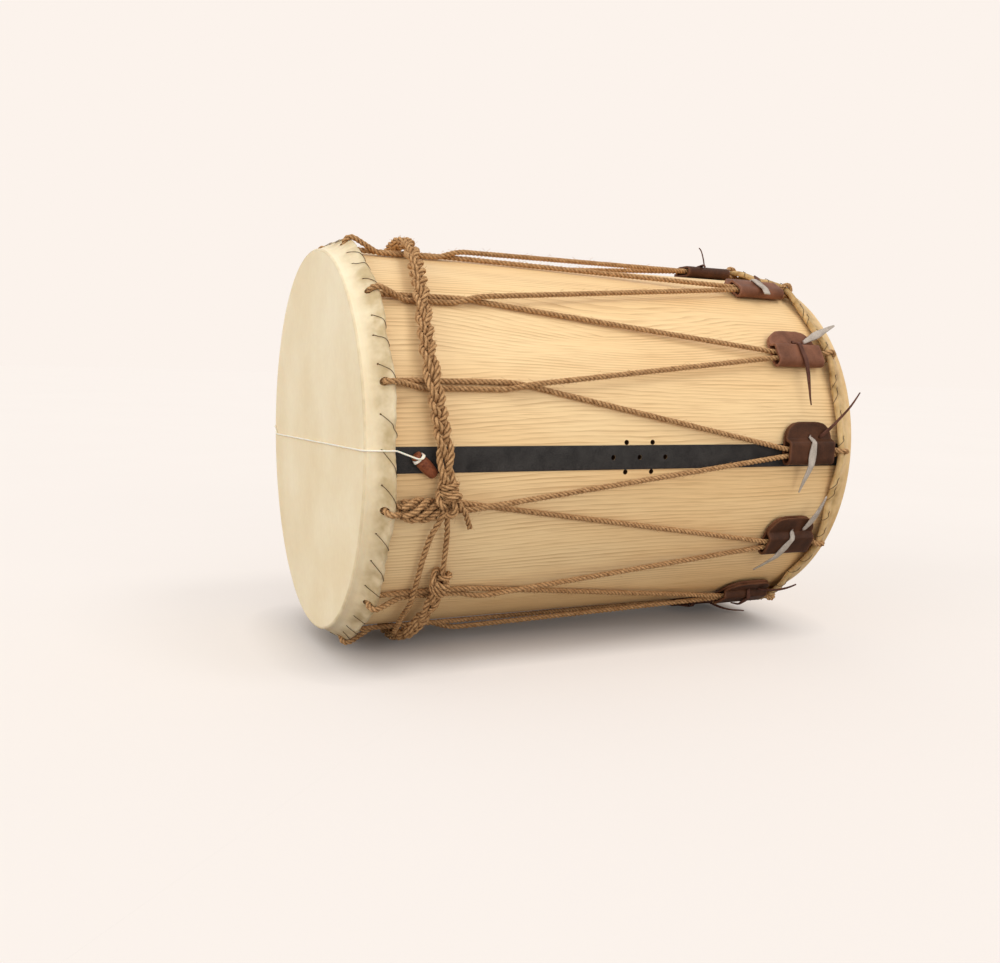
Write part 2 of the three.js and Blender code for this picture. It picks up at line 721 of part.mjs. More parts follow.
// Tug: leather folded round two strands, its flap pinched shut
// Here x runs round the drum, y outwards and z along it
function tugGeometry() {
  const foldMiddle = -tunnelHalf + tunnelHeight / 2;
  const rampTurn = Math.atan2(tunnelHeight - gap, rampFoot - rampTop);
  const rampShift = leather * Math.tan(rampTurn / 2);
  const side = new THREE.Shape();
  side.moveTo(flapReach, 0);
  side.lineTo(flapReach, leather);
  side.lineTo(foldMiddle, leather);
  side.absarc(foldMiddle, tugFold, tunnelHeight / 2, -Math.PI / 2, Math.PI / 2, true);
  side.lineTo(rampTop, leather + tunnelHeight);
  side.lineTo(rampFoot, leather + gap);
  side.lineTo(flapReach, leather + gap);
  side.lineTo(flapReach, 2 * leather + gap);
  side.lineTo(rampFoot + rampShift, 2 * leather + gap);
  side.lineTo(rampTop + rampShift, tugRoof);
  side.lineTo(foldMiddle, tugRoof);
  side.absarc(foldMiddle, tugFold, tugFold, Math.PI / 2, -Math.PI / 2, false);
  side.closePath();
  const plain = { bevelEnabled: false, curveSegments: 3 };
  const folded = new THREE.ExtrudeGeometry(side, { depth: tugLength, ...plain });
  folded.translate(0, 0, -tugLength / 2);

  const left = foldMiddle - tugFold - 1;
  const half = tugLength / 2;
  const plan = new THREE.Shape();
  plan.moveTo(left, -half + foldRound);
  plan.lineTo(left + foldRound + 1, -half);
  plan.lineTo(flapReach - flapRound, -half);
  plan.absarc(flapReach - flapRound, -half + flapRound, flapRound, -Math.PI / 2, 0, false);
  plan.absarc(flapReach - flapRound, half - flapRound, flapRound, 0, Math.PI / 2, false);
  plan.lineTo(left + foldRound + 1, half);
  plan.lineTo(left, half - foldRound);
  plan.closePath();
  const cookie = new THREE.ExtrudeGeometry(plan, { depth: tugRoof + 2, ...plain });
  cookie.rotateX(Math.PI / 2);
  cookie.translate(0, tugRoof + 1, 0);

  let solid = toSolid(folded).intersect(toSolid(cookie));
  for (const z of [slitMiddle - slitHalf, slitMiddle + slitHalf]) {
    const slit = new THREE.BoxGeometry(laceNeck + 4 * gap, 2 * tugRoof, laceThickness + 4 * gap);
    slit.translate(slitOffset, 0, z);
    solid = solid.subtract(toSolid(slit));
  }
  return toGeometry(solid);
}

// Height of a lace above a tug's inner face: flat on the flap, over the tunnel and down past the fold
const laceHalf = laceThickness / 2;
const laceFlat = 2 * leather + gap + gap + laceHalf;
const laceRoof = tugRoof + gap + laceHalf;
const laceFall = 0.38; // drop per millimetre past the fold
const foldEdge = -tunnelHalf - leather;
const laceFoot = rampFoot + leather;
const laceBrow = rampTop + leather;

function laceHeight(side) {
  if (side > laceFoot) {
    const past = Math.max(0, side - slitOffset - laceWidth);
    return laceFlat - (past * past) / (2 * shellRadius);
  }
  if (side > laceBrow) {
    return THREE.MathUtils.mapLinear(side, laceFoot, laceBrow, laceFlat, laceRoof);
  }
  return side > foldEdge ? laceRoof : laceRoof - (foldEdge - side) * laceFall;
}

// One loose end as rings of four corners that lie on the tug, from its slit outwards
function looseEnd(start, end, widthSign) {
  const way = new THREE.Vector3(Math.sin(radians(end.turn)), 0, Math.cos(radians(end.turn)));
  const across = new THREE.Vector3(way.z, 0, -way.x).multiplyScalar(widthSign);
  const first = laceStart / end.reach;
  const marks = [first, 0.4, 0.7, 1];
  const span = (Math.abs(across.x) * laceWidth) / 2;
  for (const bend of [laceFoot, laceBrow, foldEdge]) {
    for (const side of [bend + span, bend - span]) {
      const part = (side - start.x) / (way.x * end.reach);
      if (part > first + 0.01 && part < 0.97) {
        marks.push(part);
      }
    }
  }
  return marks.sort((a, b) => a - b).map((part) => {
    const point = start.clone().addScaledVector(way, part * end.reach);
    const width = part < 0.4 ? laceWidth : THREE.MathUtils.mapLinear(part, 0.4, 1, laceWidth, laceTip);
    const lift = (end.rise ?? 0) * part * (2 - part);
    return [[1, 1], [-1, 1], [-1, -1], [1, -1]].map(([u, v]) => {
      const corner = point.clone().addScaledVector(across, (u * width) / 2);
      corner.y = laceHeight(corner.x) + lift + v * laceHalf;
      return corner;
    });
  });
}

// Lace: in at one slit, under the tug and out at the other
function laceGeometry({ right, left }) {
  const neckPoint = (u, y, z) => new THREE.Vector3(slitOffset + (u * laceNeck) / 2, y, z);
  const neckRing = (z, corners) => corners.map(([u, y, dz]) => neckPoint(u, y, z + dz));
  const top = laceFlat - gap;
  const over = -gap;
  const below = over - laceThickness;
  const leg = (side) => [
    [1, top, side * laceHalf], [-1, top, side * laceHalf],
    [-1, top, -side * laceHalf], [1, top, -side * laceHalf],
  ];
  const bend = (side) => [
    [1, over, side * laceHalf], [-1, over, side * laceHalf],
    [-1, below, -side * laceHalf], [1, below, -side * laceHalf],
  ];
  const near = slitMiddle - slitHalf;
  const far = slitMiddle + slitHalf;
  const rings = [
    ...looseEnd(new THREE.Vector3(slitOffset, 0, near), left, -1).reverse(),
    neckRing(near, leg(1)),
    neckRing(near, bend(1)),
    neckRing(far, bend(-1)),
    neckRing(far, leg(-1)),
    ...looseEnd(new THREE.Vector3(slitOffset, 0, far), right, 1),
  ];
  return loft(rings);
}

// Twelve tugs, each with its lace
const tug = tugGeometry();
for (let k = 0; k < pairCount; k += 1) {
  const angle = k * pairStep;
  const frame = new THREE.Matrix4().makeBasis(along(angle), outward(angle), new THREE.Vector3(1, 0, 0));
  frame.setPosition(place(tugMiddle, tugRadius, angle));
  const number = String(k + 1).padStart(2, "0");
  addPiece(`tug_${number}`, tug.clone().applyMatrix4(frame), "tugLeather");
  addPiece(`tug_lace_${number}`, laceGeometry(laces[k]).applyMatrix4(frame), "laceLeather");
}

// The origin is at the middle of the drum's bottom
const box = new THREE.Box3().setFromObject(drum);
const middle = box.getCenter(new THREE.Vector3());
drum.children.forEach((piece) => piece.geometry.translate(-middle.x, -middle.y, -box.min.z));
console.log("axis of the drum:", (-middle.x).toFixed(3), (-middle.y).toFixed(3), (-box.min.z).toFixed(3));

export default drum;
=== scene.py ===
import math
import random
import bmesh
import bpy
import numpy as np
from mathutils import Matrix, Vector, kdtree, noise


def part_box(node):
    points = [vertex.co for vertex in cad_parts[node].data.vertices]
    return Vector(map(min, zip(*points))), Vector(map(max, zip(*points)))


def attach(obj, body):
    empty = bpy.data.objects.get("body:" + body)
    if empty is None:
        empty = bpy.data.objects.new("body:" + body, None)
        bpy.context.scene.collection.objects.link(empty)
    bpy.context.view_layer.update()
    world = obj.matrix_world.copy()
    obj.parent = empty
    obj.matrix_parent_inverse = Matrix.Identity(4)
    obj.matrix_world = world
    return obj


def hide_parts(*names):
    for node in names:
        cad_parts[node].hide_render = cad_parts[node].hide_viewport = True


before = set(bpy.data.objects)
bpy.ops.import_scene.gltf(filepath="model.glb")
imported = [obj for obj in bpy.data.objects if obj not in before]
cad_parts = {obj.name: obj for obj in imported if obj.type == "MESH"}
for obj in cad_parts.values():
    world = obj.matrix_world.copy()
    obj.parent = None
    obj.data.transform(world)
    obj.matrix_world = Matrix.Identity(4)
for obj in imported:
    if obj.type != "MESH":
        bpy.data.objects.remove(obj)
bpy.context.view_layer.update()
scene = bpy.context.scene
scene.view_settings.view_transform = "Standard"
mm = 0.001

# A place on the drum: s along its axis from the batter head's face, r from the axis, an angle in degrees
# from the front upwards, and a sideways step; all lengths are given in millimetres and come back in metres
drum = {"length": 462, "radius": 163.9, "wall": 7, "bearing": 4, "end": 1, "skin": 0.8}
shellLow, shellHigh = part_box("shell")
axis = (shellLow + shellHigh) / 2


def place(s, r, angle, side=0.0):
    turn = math.radians(angle)
    y = side * math.sin(turn) - r * math.cos(turn)
    z = side * math.cos(turn) + r * math.sin(turn)
    return axis + Vector((s - drum["length"] / 2, y, z)) * mm


# Camera at the photo's view
photo = {"lens": 34.7, "from": (-194.6, -842.3, 9.36), "pan": 24.04, "tilt": 3.07, "roll": 3.6}
pan, tilt = math.radians(photo["pan"]), math.radians(photo["tilt"])
rolled = Matrix.Rotation(-math.radians(photo["roll"]), 3, "X")
right = rolled @ Vector((math.cos(pan), -math.sin(pan), 0))
up = rolled @ Vector((math.sin(tilt) * math.sin(pan), math.sin(tilt) * math.cos(pan), math.cos(tilt)))
turnedView = Matrix((right, up, right.cross(up))).transposed()
stand = place(0, 0, 0) + rolled @ Vector(photo["from"]) * mm
camera = bpy.data.objects.new("camera", bpy.data.cameras.new("camera"))
camera.data.lens = photo["lens"]
camera.matrix_world = Matrix.Translation(stand) @ turnedView.to_4x4()
scene.collection.objects.link(camera)
scene.camera = camera
print("camera placed")


# Materials
def tint(text):
    parts = [int(text[i:i + 2], 16) / 255 for i in (0, 2, 4)]
    return (*[((p + 0.055) / 1.055) ** 2.4 if p > 0.04 else p / 12.92 for p in parts], 1)


def add(tree, kind, inputs=None, **settings):
    made = tree.nodes.new("ShaderNode" + kind)
    for name, value in settings.items():
        setattr(made, name, value)
    for name, value in (inputs or {}).items():
        if isinstance(value, bpy.types.NodeSocket):
            tree.links.new(value, made.inputs[name])
        else:
            made.inputs[name].default_value = value
    return made


def sums(tree, operation, first, second=0.0):
    return add(tree, "Math", {0: first, 1: second}, operation=operation).outputs[0]


def mixed(tree, share, first, second):
    return add(tree, "Mix", {0: share, 6: first, 7: second}, data_type="RGBA").outputs[2]


def ranged(tree, value, low, high, toLow=0.0, toHigh=1.0):
    return add(tree, "MapRange", {0: value, 1: low, 2: high, 3: toLow, 4: toHigh}).outputs[0]


def stretched(tree, vector, scale):
    return add(tree, "Mapping", {"Vector": vector, "Scale": scale}).outputs[0]


def clouds(tree, vector, scale, detail=3.0, rough=0.55):
    inputs = {"Vector": vector, "Scale": scale, "Detail": detail, "Roughness": rough}
    return add(tree, "TexNoise", inputs).outputs[0]


def newGroup(name, sockets, results):
    group = bpy.data.node_groups.new(name, "ShaderNodeTree")
    for socket, kind in sockets:
        group.interface.new_socket(socket, in_out="INPUT", socket_type=kind)
    for socket, kind in results:
        group.interface.new_socket(socket, in_out="OUTPUT", socket_type=kind)
    return group, group.nodes.new("NodeGroupInput").outputs, group.nodes.new("NodeGroupOutput").inputs


# Broad clouds and a fine grain between two colours, shared by skin, leather, cord and thread
def mottleGroup():
    group, into, out = newGroup(
        "mottle",
        [("Vector", "NodeSocketVector"), ("Broad", "NodeSocketFloat"), ("Fine", "NodeSocketFloat"),
         ("Share", "NodeSocketFloat"), ("Dark", "NodeSocketColor"), ("Light", "NodeSocketColor")],
        [("Color", "NodeSocketColor"), ("Height", "NodeSocketFloat")])
    broad = clouds(group, into["Vector"], into["Broad"])
    fine = clouds(group, into["Vector"], into["Fine"], 2.0)
    both = add(group, "Mix", {0: into["Share"], 2: broad, 3: fine}).outputs[0]
    share = ranged(group, both, 0.32, 0.68)
    group.links.new(mixed(group, share, into["Dark"], into["Light"]), out["Color"])
    group.links.new(fine, out["Height"])
    return group


# Growth rings of a sawn board: x of the vector runs along the grain, y across it
board = {"sway": (2.2, 7, 7), "swayBy": 0.05, "ripple": (15, 90, 90), "rippleBy": 0.004, "heartAt": (0.1, -2.2, 0),
         "heart": (6, 21, 21), "heartBy": 0.024, "late": 3.0, "fade": (8, 90, 90), "faded": 0.05,
         "fibre": (26, 1500, 1500), "tone": (2, 9, 9)}


def grainGroup():
    group, into, out = newGroup(
        "grain",
        [("Vector", "NodeSocketVector"), ("Rings", "NodeSocketFloat")],
        [("Line", "NodeSocketFloat"), ("Fibre", "NodeSocketFloat"), ("Tone", "NodeSocketFloat")])
    vector = into["Vector"]
    across = add(group, "SeparateXYZ", {0: vector}).outputs[1]
    sway = clouds(group, stretched(group, vector, board["sway"]), 1.0, 1.0)
    ripple = clouds(group, stretched(group, vector, board["ripple"]), 1.0, 2.0)
    heart = add(group, "Mapping", {"Vector": vector, "Location": board["heartAt"], "Scale": board["heart"]})
    heart = add(group, "TexGradient", {0: heart.outputs[0]}, gradient_type="SPHERICAL").outputs[1]
    moved = across
    for shift, by in ((sway, board["swayBy"]), (ripple, board["rippleBy"]), (heart, board["heartBy"])):
        moved = sums(group, "ADD", moved, sums(group, "MULTIPLY", shift, by))
    ring = sums(group, "FRACT", sums(group, "MULTIPLY", moved, into["Rings"]))
    late = sums(group, "POWER", ring, board["late"])
    fade = clouds(group, stretched(group, vector, board["fade"]), 1.0)
    fade = ranged(group, fade, 0.34, 0.64, board["faded"], 1.0)
    group.links.new(sums(group, "MULTIPLY", late, fade), out["Line"])
    group.links.new(clouds(group, stretched(group, vector, board["fibre"]), 1.0), out["Fibre"])
    group.links.new(clouds(group, stretched(group, vector, board["tone"]), 1.0), out["Tone"])
    return group


mottle = mottleGroup()
grain = grainGroup()


usual = {"specular": 0.15, "bumpDeep": 0.0004, "glowReach": (0.004, 0.002, 0.001), "woodBump": 0.12,
         "woodDeep": 0.0003}


def newMaterial(name, look):
    material = bpy.data.materials.new(name)
    material.use_nodes = True
    surface = material.node_tree.nodes["Principled BSDF"]
    surface.inputs["Specular IOR Level"].default_value = look.get("specular", usual["specular"])
    return material, material.node_tree, surface


# Roughness and bump of a finish from its fine grain
def finish(tree, surface, height, rough, strength, distance):
    tree.links.new(ranged(tree, height, 0.25, 0.75, rough - 0.1, rough + 0.1), surface.inputs["Roughness"])
    bump = add(tree, "Bump", {"Height": height, "Strength": strength, "Distance": distance})
    tree.links.new(bump.outputs[0], surface.inputs["Normal"])


def speckled(tree, vector, look, dark, light):
    made = add(tree, "Group", {}, node_tree=mottle)
    sockets = {"Broad": look["broad"], "Fine": look["fine"], "Share": look["share"],
               "Dark": tint(dark), "Light": tint(light)}
    for socket, value in sockets.items():
        made.inputs[socket].default_value = value
    tree.links.new(vector, made.inputs["Vector"])
    return made.outputs


# A mottled finish; where a mesh has the mask attribute, a second pair of colours shows in patches
def mottled(name, look):
    material, tree, surface = newMaterial(name, look)
    vector = add(tree, "TexCoord").outputs["Object"]
    made = speckled(tree, vector, look, look["dark"], look["light"])
    colour = made["Color"]
    if "mask" in look:
        other = speckled(tree, vector, look, *look["other"])["Color"]
        masked = add(tree, "Attribute", attribute_name=look["mask"]).outputs["Fac"]
        patches = ranged(tree, clouds(tree, vector, look["patch"]), 0.36, 0.6, 1 - look["broken"], 1.0)
        colour = mixed(tree, sums(tree, "MULTIPLY", masked, patches), colour, other)
    tree.links.new(colour, surface.inputs["Base Color"])
    finish(tree, surface, made["Height"], look["rough"], look["bump"], usual["bumpDeep"])
    surface.inputs["Subsurface Weight"].default_value = look.get("glow", 0.0)
    surface.inputs["Subsurface Radius"].default_value = usual["glowReach"]
    return material


def wooden(name, look, coordinates):
    material, tree, surface = newMaterial(name, look)
    vector = add(tree, "TexCoord").outputs[coordinates]
    made = add(tree, "Group", {"Vector": vector, "Rings": look["rings"]}, node_tree=grain).outputs
    tone = ranged(tree, made["Tone"], 0.3, 0.7)
    body = mixed(tree, tone, tint(look["pale"]), tint(look["mid"]))
    pores = sums(tree, "MULTIPLY", ranged(tree, made["Fibre"], 0.5, 0.75), look["pores"])
    body = mixed(tree, pores, body, tint(look["dark"]))
    colour = mixed(tree, sums(tree, "MULTIPLY", made["Line"], look["strength"]), body, tint(look["dark"]))
    tree.links.new(colour, surface.inputs["Base Color"])
    finish(tree, surface, made["Fibre"], look["rough"], usual["woodBump"], usual["woodDeep"])
    return material


ash = wooden("ash", {
    "pale": "f9daa6", "mid": "f1c68a", "dark": "a87238", "strength": 0.64, "pores": 0.4, "rings": 270,
    "rough": 0.5, "specular": 0.35}, "UV")
# Near-black wood for the walls of the vents: painted shade inside the holes
ventShade = wooden("vent_shade_wood", {
    "pale": "5a3c22", "mid": "402813", "dark": "24150a", "strength": 0.6, "pores": 0.4, "rings": 270,
    "rough": 0.7}, "UV")
ringWood = wooden("ring_wood", {
    "pale": "dcbf8e", "mid": "d2b07c", "dark": "a87c48", "strength": 0.6, "pores": 0.4, "rings": 300,
    "rough": 0.62}, "Object")
batterHide = mottled("batter_hide", {
    "dark": "e9d2a8", "light": "f6e6c5", "broad": 9, "fine": 160, "share": 0.25, "rough": 0.5, "bump": 0.12,
    "glow": 0.12, "mask": "hem", "other": ("9e8358", "d0b98f"), "patch": 55, "broken": 0.6})
lowerHide = mottled("lower_hide", {
    "dark": "d3aa70", "light": "e9c998", "broad": 14, "fine": 170, "share": 0.35, "rough": 0.5, "bump": 0.15,
    "glow": 0.1, "mask": "hem", "other": ("8f6a3a", "d8b57c"), "patch": 110, "broken": 0.6})
cane = mottled("cane", {
    "dark": "9c7443", "light": "c59a60", "broad": 60, "fine": 500, "share": 0.5, "rough": 0.6, "bump": 0.2})
# The hemp's second, darker pair of colours is painted shade in the rope's grooves
hemp = mottled("hemp", {
    "dark": "8a5a31", "light": "eabd88", "broad": 300, "fine": 1700, "share": 0.55, "rough": 0.88, "bump": 0.7,
    "specular": 0.1, "mask": "groove_shade", "other": ("2f1a0b", "6d4423"), "patch": 200, "broken": 0.15})
strip = mottled("strip_hide", {
    "dark": "1c1a19", "light": "433f3c", "broad": 90, "fine": 1300, "share": 0.6, "rough": 0.55, "bump": 0.45})
# Tug leather turns lighter along its edges: a painted highlight
tugLook = {"broad": 60, "fine": 900, "share": 0.35, "rough": 0.5, "bump": 0.35, "mask": "rim_highlight", "patch": 160,
           "broken": 0.5}
tugHides = [
    mottled("tug_hide", {**tugLook, "dark": "5a3522", "light": "8d5b42", "other": ("6d4330", "a5745a")}),
    mottled("dark_tug_hide", {**tugLook, "dark": "341d10", "light": "5b3723", "other": ("54321f", "7f543c")})]
thongHide = mottled("thong_hide", {
    "dark": "472a20", "light": "734a3a", "broad": 110, "fine": 1100, "share": 0.45, "rough": 0.68, "bump": 0.35,
    "mask": "pale", "other": ("988b7f", "cdc0b2"), "patch": 90, "broken": 0.0})
toggleHide = mottled("toggle_hide", {
    "dark": "5a2c1e", "light": "9a5a3a", "broad": 120, "fine": 900, "share": 0.4, "rough": 0.5, "bump": 0.4})
gut = mottled("gut_cord", {
    "dark": "eadfc6", "light": "fdf8ec", "broad": 90, "fine": 1200, "share": 0.5, "rough": 0.4, "bump": 0.25,
    "glow": 0.2})
thread = mottled("thread", {
    "dark": "3f2d1f", "light": "7a5f45", "broad": 200, "fine": 1500, "share": 0.5, "rough": 0.8, "bump": 0.3})
print("materials made")


# Pieces
def evaluated(piece):
    return bpy.data.meshes.new_from_object(piece.evaluated_get(bpy.context.evaluated_depsgraph_get()))


def newPiece(name, mesh, material, body, slot, *standsFor, sharp=40):
    piece = bpy.data.objects.new(name, mesh)
    scene.collection.objects.link(piece)
    mesh.materials.clear()
    mesh.materials.append(material)
    mesh.polygons.foreach_set("use_smooth", [True] * len(mesh.polygons))
    mesh.set_sharp_from_angle(angle=math.radians(sharp))
    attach(piece, body)
    if standsFor:
        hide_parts(*standsFor)
    return piece


def thicken(piece, thick):
    solid = piece.modifiers.new("thickness", "SOLIDIFY")
    solid.thickness = thick * mm
    solid.offset = 0


def toMesh(name, bm):
    mesh = bpy.data.meshes.new(name)
    bm.to_mesh(mesh)
    bm.free()
    return mesh


def spin(bm, corners, edges, centre, way, sweep, steps):
    bmesh.ops.spin(bm, geom=corners + edges, cent=centre, axis=way, angle=math.radians(sweep), steps=steps,
                   use_merge=abs(sweep) == 360)
    bmesh.ops.remove_doubles(bm, verts=bm.verts, dist=1e-6)
    bmesh.ops.recalc_face_normals(bm, faces=bm.faces)


# A profile of s and r pairs spun round the drum's axis; one that starts on the axis is left open there
def spun(profile, steps, start=180.0, sweep=360.0):
    bm = bmesh.new()
    corners = [bm.verts.new(place(s, r, start)) for s, r in profile]
    following = corners[1:] if profile[0][1] == 0 else corners[1:] + corners[:1]
    edges = [bm.edges.new(pair) for pair in zip(corners, following)]
    spin(bm, corners, edges, axis, (1, 0, 0), -sweep, steps)
    return bm


# Pegs that point outwards, each with its place and radius, cut out of a mesh
def cutHoles(name, mesh, holes, low, high):
    bm = bmesh.new()
    for s, angle, radius in holes:
        outward = (place(s, 1, angle) - place(s, 0, angle)).normalized()
        turned = Vector((0, 0, 1)).rotation_difference(outward).to_matrix().to_4x4()
        peg = Matrix.Translation(place(s, (low + high) / 2, angle)) @ turned
        bmesh.ops.create_cone(bm, cap_ends=True, segments=16, radius1=radius * mm, radius2=radius * mm,
                              depth=(high - low) * mm, matrix=peg)
    cutter = bpy.data.objects.new(name + "_pegs", toMesh(name + "_pegs", bm))
    whole = bpy.data.objects.new(name + "_whole", mesh)
    for piece in (cutter, whole):
        scene.collection.objects.link(piece)
    cut = whole.modifiers.new("holes", "BOOLEAN")
    cut.operation = "DIFFERENCE"
    cut.object = cutter
    made = evaluated(whole)
    for piece in (cutter, whole):
        bpy.data.objects.remove(piece)
    return made


# Length along the grain and round the shell, in metres, as the mesh's own coordinates
def unroll(mesh, seam):
    layer = mesh.uv_layers.new(name="unrolled")
    for loop in mesh.loops:
        point = mesh.vertices[loop.vertex_index].co - axis
        turn = (math.degrees(math.atan2(point.z, -point.y)) - seam) % 360
        layer.data[loop.index].uv = (point.x, math.radians(turn) * drum["radius"] * mm)


def arc(s, r, radius, first, last, count):
    turns = [math.radians(first + (last - first) * i / count) for i in range(count + 1)]
    return [(s + radius * math.sin(t), r + radius * math.cos(t)) for t in turns]


# Shell with its vents, and the seam strip over its joint
vents = {"radius": 2.15, "pitch": 25, "middle": 234, "rows": (2, 3, 2), "apart": 12.2, "margin": 10,
         "inland": 20}
seam = {"angle": -1, "width": 20, "low": 164.1, "high": 164.7, "inset": 10, "bevel": 0.2, "cut": (150, 175)}


def ventHoles():
    holes = []
    for row, count in enumerate(vents["rows"]):
        angle = seam["angle"] + math.degrees((row - 1) * vents["apart"] / drum["radius"])
        for i in range(count):
            holes.append((vents["middle"] + (i - (count - 1) / 2) * vents["pitch"], angle, vents["radius"]))
    return holes


def shellPiece():
    bore = drum["radius"] - drum["wall"]
    middle = drum["end"] + drum["bearing"]
    near = [(drum["end"], bore)] + arc(middle, drum["radius"] - drum["bearing"], drum["bearing"], -90, 0, 6)
    far = [(drum["length"] - s, r) for s, r in reversed(near)]
    mesh = toMesh("wood_shell", spun(near + far, 256))
    mesh = cutHoles("wood_shell", mesh, ventHoles(), bore - vents["margin"], drum["radius"] + vents["margin"])
    unroll(mesh, seam["angle"])
    newPiece("wood_shell", mesh, ash, "drum", "shell_wood", "shell", sharp=35)
    # The walls of the vents take the near-black wood, as painted shade inside the holes
    mesh.materials.append(ventShade)
    for face in mesh.polygons:
        out = face.center - axis
        inland = abs(out.x) < (drum["length"] / 2 - vents["inland"]) * mm
        out.x = 0
        face.material_index = int(inland and abs(face.normal.dot(out.normalized())) < 0.5)


def stripPiece():
    reach = math.degrees(seam["width"] / drum["radius"])
    first, last = seam["inset"], drum["length"] - seam["inset"]
    corners = [(first, seam["low"]), (first, seam["high"]), (last, seam["high"]), (last, seam["low"])]
    bm = spun(corners, 12, seam["angle"] - reach / 2, reach)
    bmesh.ops.holes_fill(bm, edges=bm.edges)
    bmesh.ops.recalc_face_normals(bm, faces=bm.faces)
    rims = [e for e in bm.edges if e.calc_face_angle(0) > 1]
    bmesh.ops.bevel(bm, geom=rims, offset=seam["bevel"] * mm, offset_type="OFFSET", affect="EDGES", segments=2,
                    profile=0.5, material=-1)
    mesh = cutHoles("leather_strip", toMesh("leather_strip", bm), ventHoles()[2:5], *seam["cut"])
    newPiece("leather_strip", mesh, strip, "drum", "strip_leather", "seam_strip", sharp=50)


shellPiece()
stripPiece()
for side in ("batter", "lower"):
    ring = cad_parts[side + "_reinforcing_ring"]
    ring.data.materials.clear()
    ring.data.materials.append(ringWood)
print("shell, strip and rings made")

# Heads: each hem stands up where the rope runs through it and lies lower between
pairShifts = (3.6, 0.6, 0, 0, 0, 0, 0, 0, 0, 0, 1.5, 1.6)
pairAngles = [30 * k + 15 + shift for k, shift in enumerate(pairShifts)]
hem = {"depth": 20.75, "radius": 172.8, "inner": 1.8, "outer": 2.6, "cane": 1.6, "sway": 5.4, "hole": 3.3,
       "prick": 0.75, "tuck": 240, "crease": 2.5, "wornFrom": 4, "wornOver": 10, "wornRadius": 100, "fold": 0.4,
       "foldFrom": 0.02, "foldTo": 1.6, "foldRadius": 162, "face": (0, 40, 80, 120, 150, 158, 161.4)}
waves = {"from": 7, "over": 10, "broad": 9, "fine": 26, "drift": 12, "fineBack": 0.8, "lift": 0.8, "fineLift": 0.7,
         "slack": 0.1}
rise = hem["radius"] - drum["radius"] - drum["end"]
run = hem["depth"] - drum["bearing"] - drum["end"]
flare = math.degrees(math.atan2(rise, run) + math.asin(hem["outer"] / math.hypot(rise, run)))
ends = {
    "batter": {"holes": pairAngles, "back": 1.0, "sink": 2.6, "pucker": 1.5, "seed": 3,
               "stitches": (0.2, 0.47, 0.75), "slant": -5.6, "start": 12.2, "stray": 1.8, "scatter": 1.2},
    "lower": {"holes": [30 * k for k in range(12)], "back": 0.6, "sink": 4.9, "pucker": 1.3, "seed": 8,
              "stitches": (0.2, 0.4, 0.6, 0.8), "slant": -4.6, "start": 17.6, "stray": 0.5, "scatter": 2.0},
}


def alongFrom(side, depth):
    return depth if side == "batter" else drum["length"] - depth


# How near an angle is to a rope hole: 1 at a hole, 0 midway between two
def pullAt(side, angle):
    before = min((angle - hole) % 360 for hole in ends[side]["holes"])
    after = min((hole - angle) % 360 for hole in ends[side]["holes"])
    return 0.5 + 0.5 * math.cos(2 * math.pi * before / max(1, before + after))


# Moves a depth and radius on a skirt by the hem's own waves at that angle
def wavy(side, depth, r, angle):
    end = ends[side]
    weight = min(1, max(0, (depth - waves["from"]) / waves["over"]))
    turn = math.radians(angle)
    loose = 1 + waves["slack"] - pullAt(side, angle)
    across, along = math.cos(turn), math.sin(turn)
    broad, small = waves["broad"], waves["fine"]
    ripple = noise.noise(Vector((broad * across, broad * along, end["seed"])))
    fine = noise.noise(Vector((small * across, small * along, end["seed"] + depth / waves["drift"])))
    back = end["back"] * loose + end["pucker"] * (ripple + waves["fineBack"] * fine) * loose
    lift = end["pucker"] * (waves["lift"] * ripple - waves["fineLift"] * fine) * loose
    lift -= end["sink"] * (loose - waves["slack"])
    return depth - weight * back, r + weight * lift


def fromAxis(side, point):
    point = (point - axis) / mm
    angle = math.degrees(math.atan2(point.z, -point.y))
    return alongFrom(side, point.x + drum["length"] / 2), math.hypot(point.y, point.z), angle


def waveMesh(side, bm):
    for vert in bm.verts:
        depth, r, angle = fromAxis(side, vert.co)
        if r > 1:
            depth, r = wavy(side, depth, r, angle)
            vert.co = place(alongFrom(side, depth), r, angle)


# A skirt's profile: over the bearing edge, down the side and round the cane
def skirt(radius, top, corner, count=6):
    middle, side = drum["bearing"] + drum["end"], drum["radius"] - drum["bearing"] + top
    bend = arc(middle - top + corner, side - corner, corner, -90, 0, 7)
    bend.append((middle + 0.1, side))
    roll = arc(hem["depth"], hem["radius"], radius, -flare, hem["tuck"] - flare, 16)
    (s0, r0), (s1, r1) = bend[-1], roll[0]
    line = [(s0 + (s1 - s0) * i / count, r0 + (r1 - r0) * i / count) for i in range(1, count)]
    return bend + line + roll


# Angle, slant and depth of each stitch between the rope holes
def stitchPlan(side):
    end, plan = ends[side], []
    random.seed(end["seed"])
    for hole, after in zip(end["holes"], end["holes"][1:] + [end["holes"][0] + 360]):
        for part in end["stitches"]:
            angle = hole + (after - hole) * part + random.uniform(-1, 1) * end["scatter"]
            depth = end["start"] + random.uniform(-end["stray"], end["stray"])
            plan.append((angle, end["slant"] * random.uniform(0.6, 1.3), depth))
    return plan


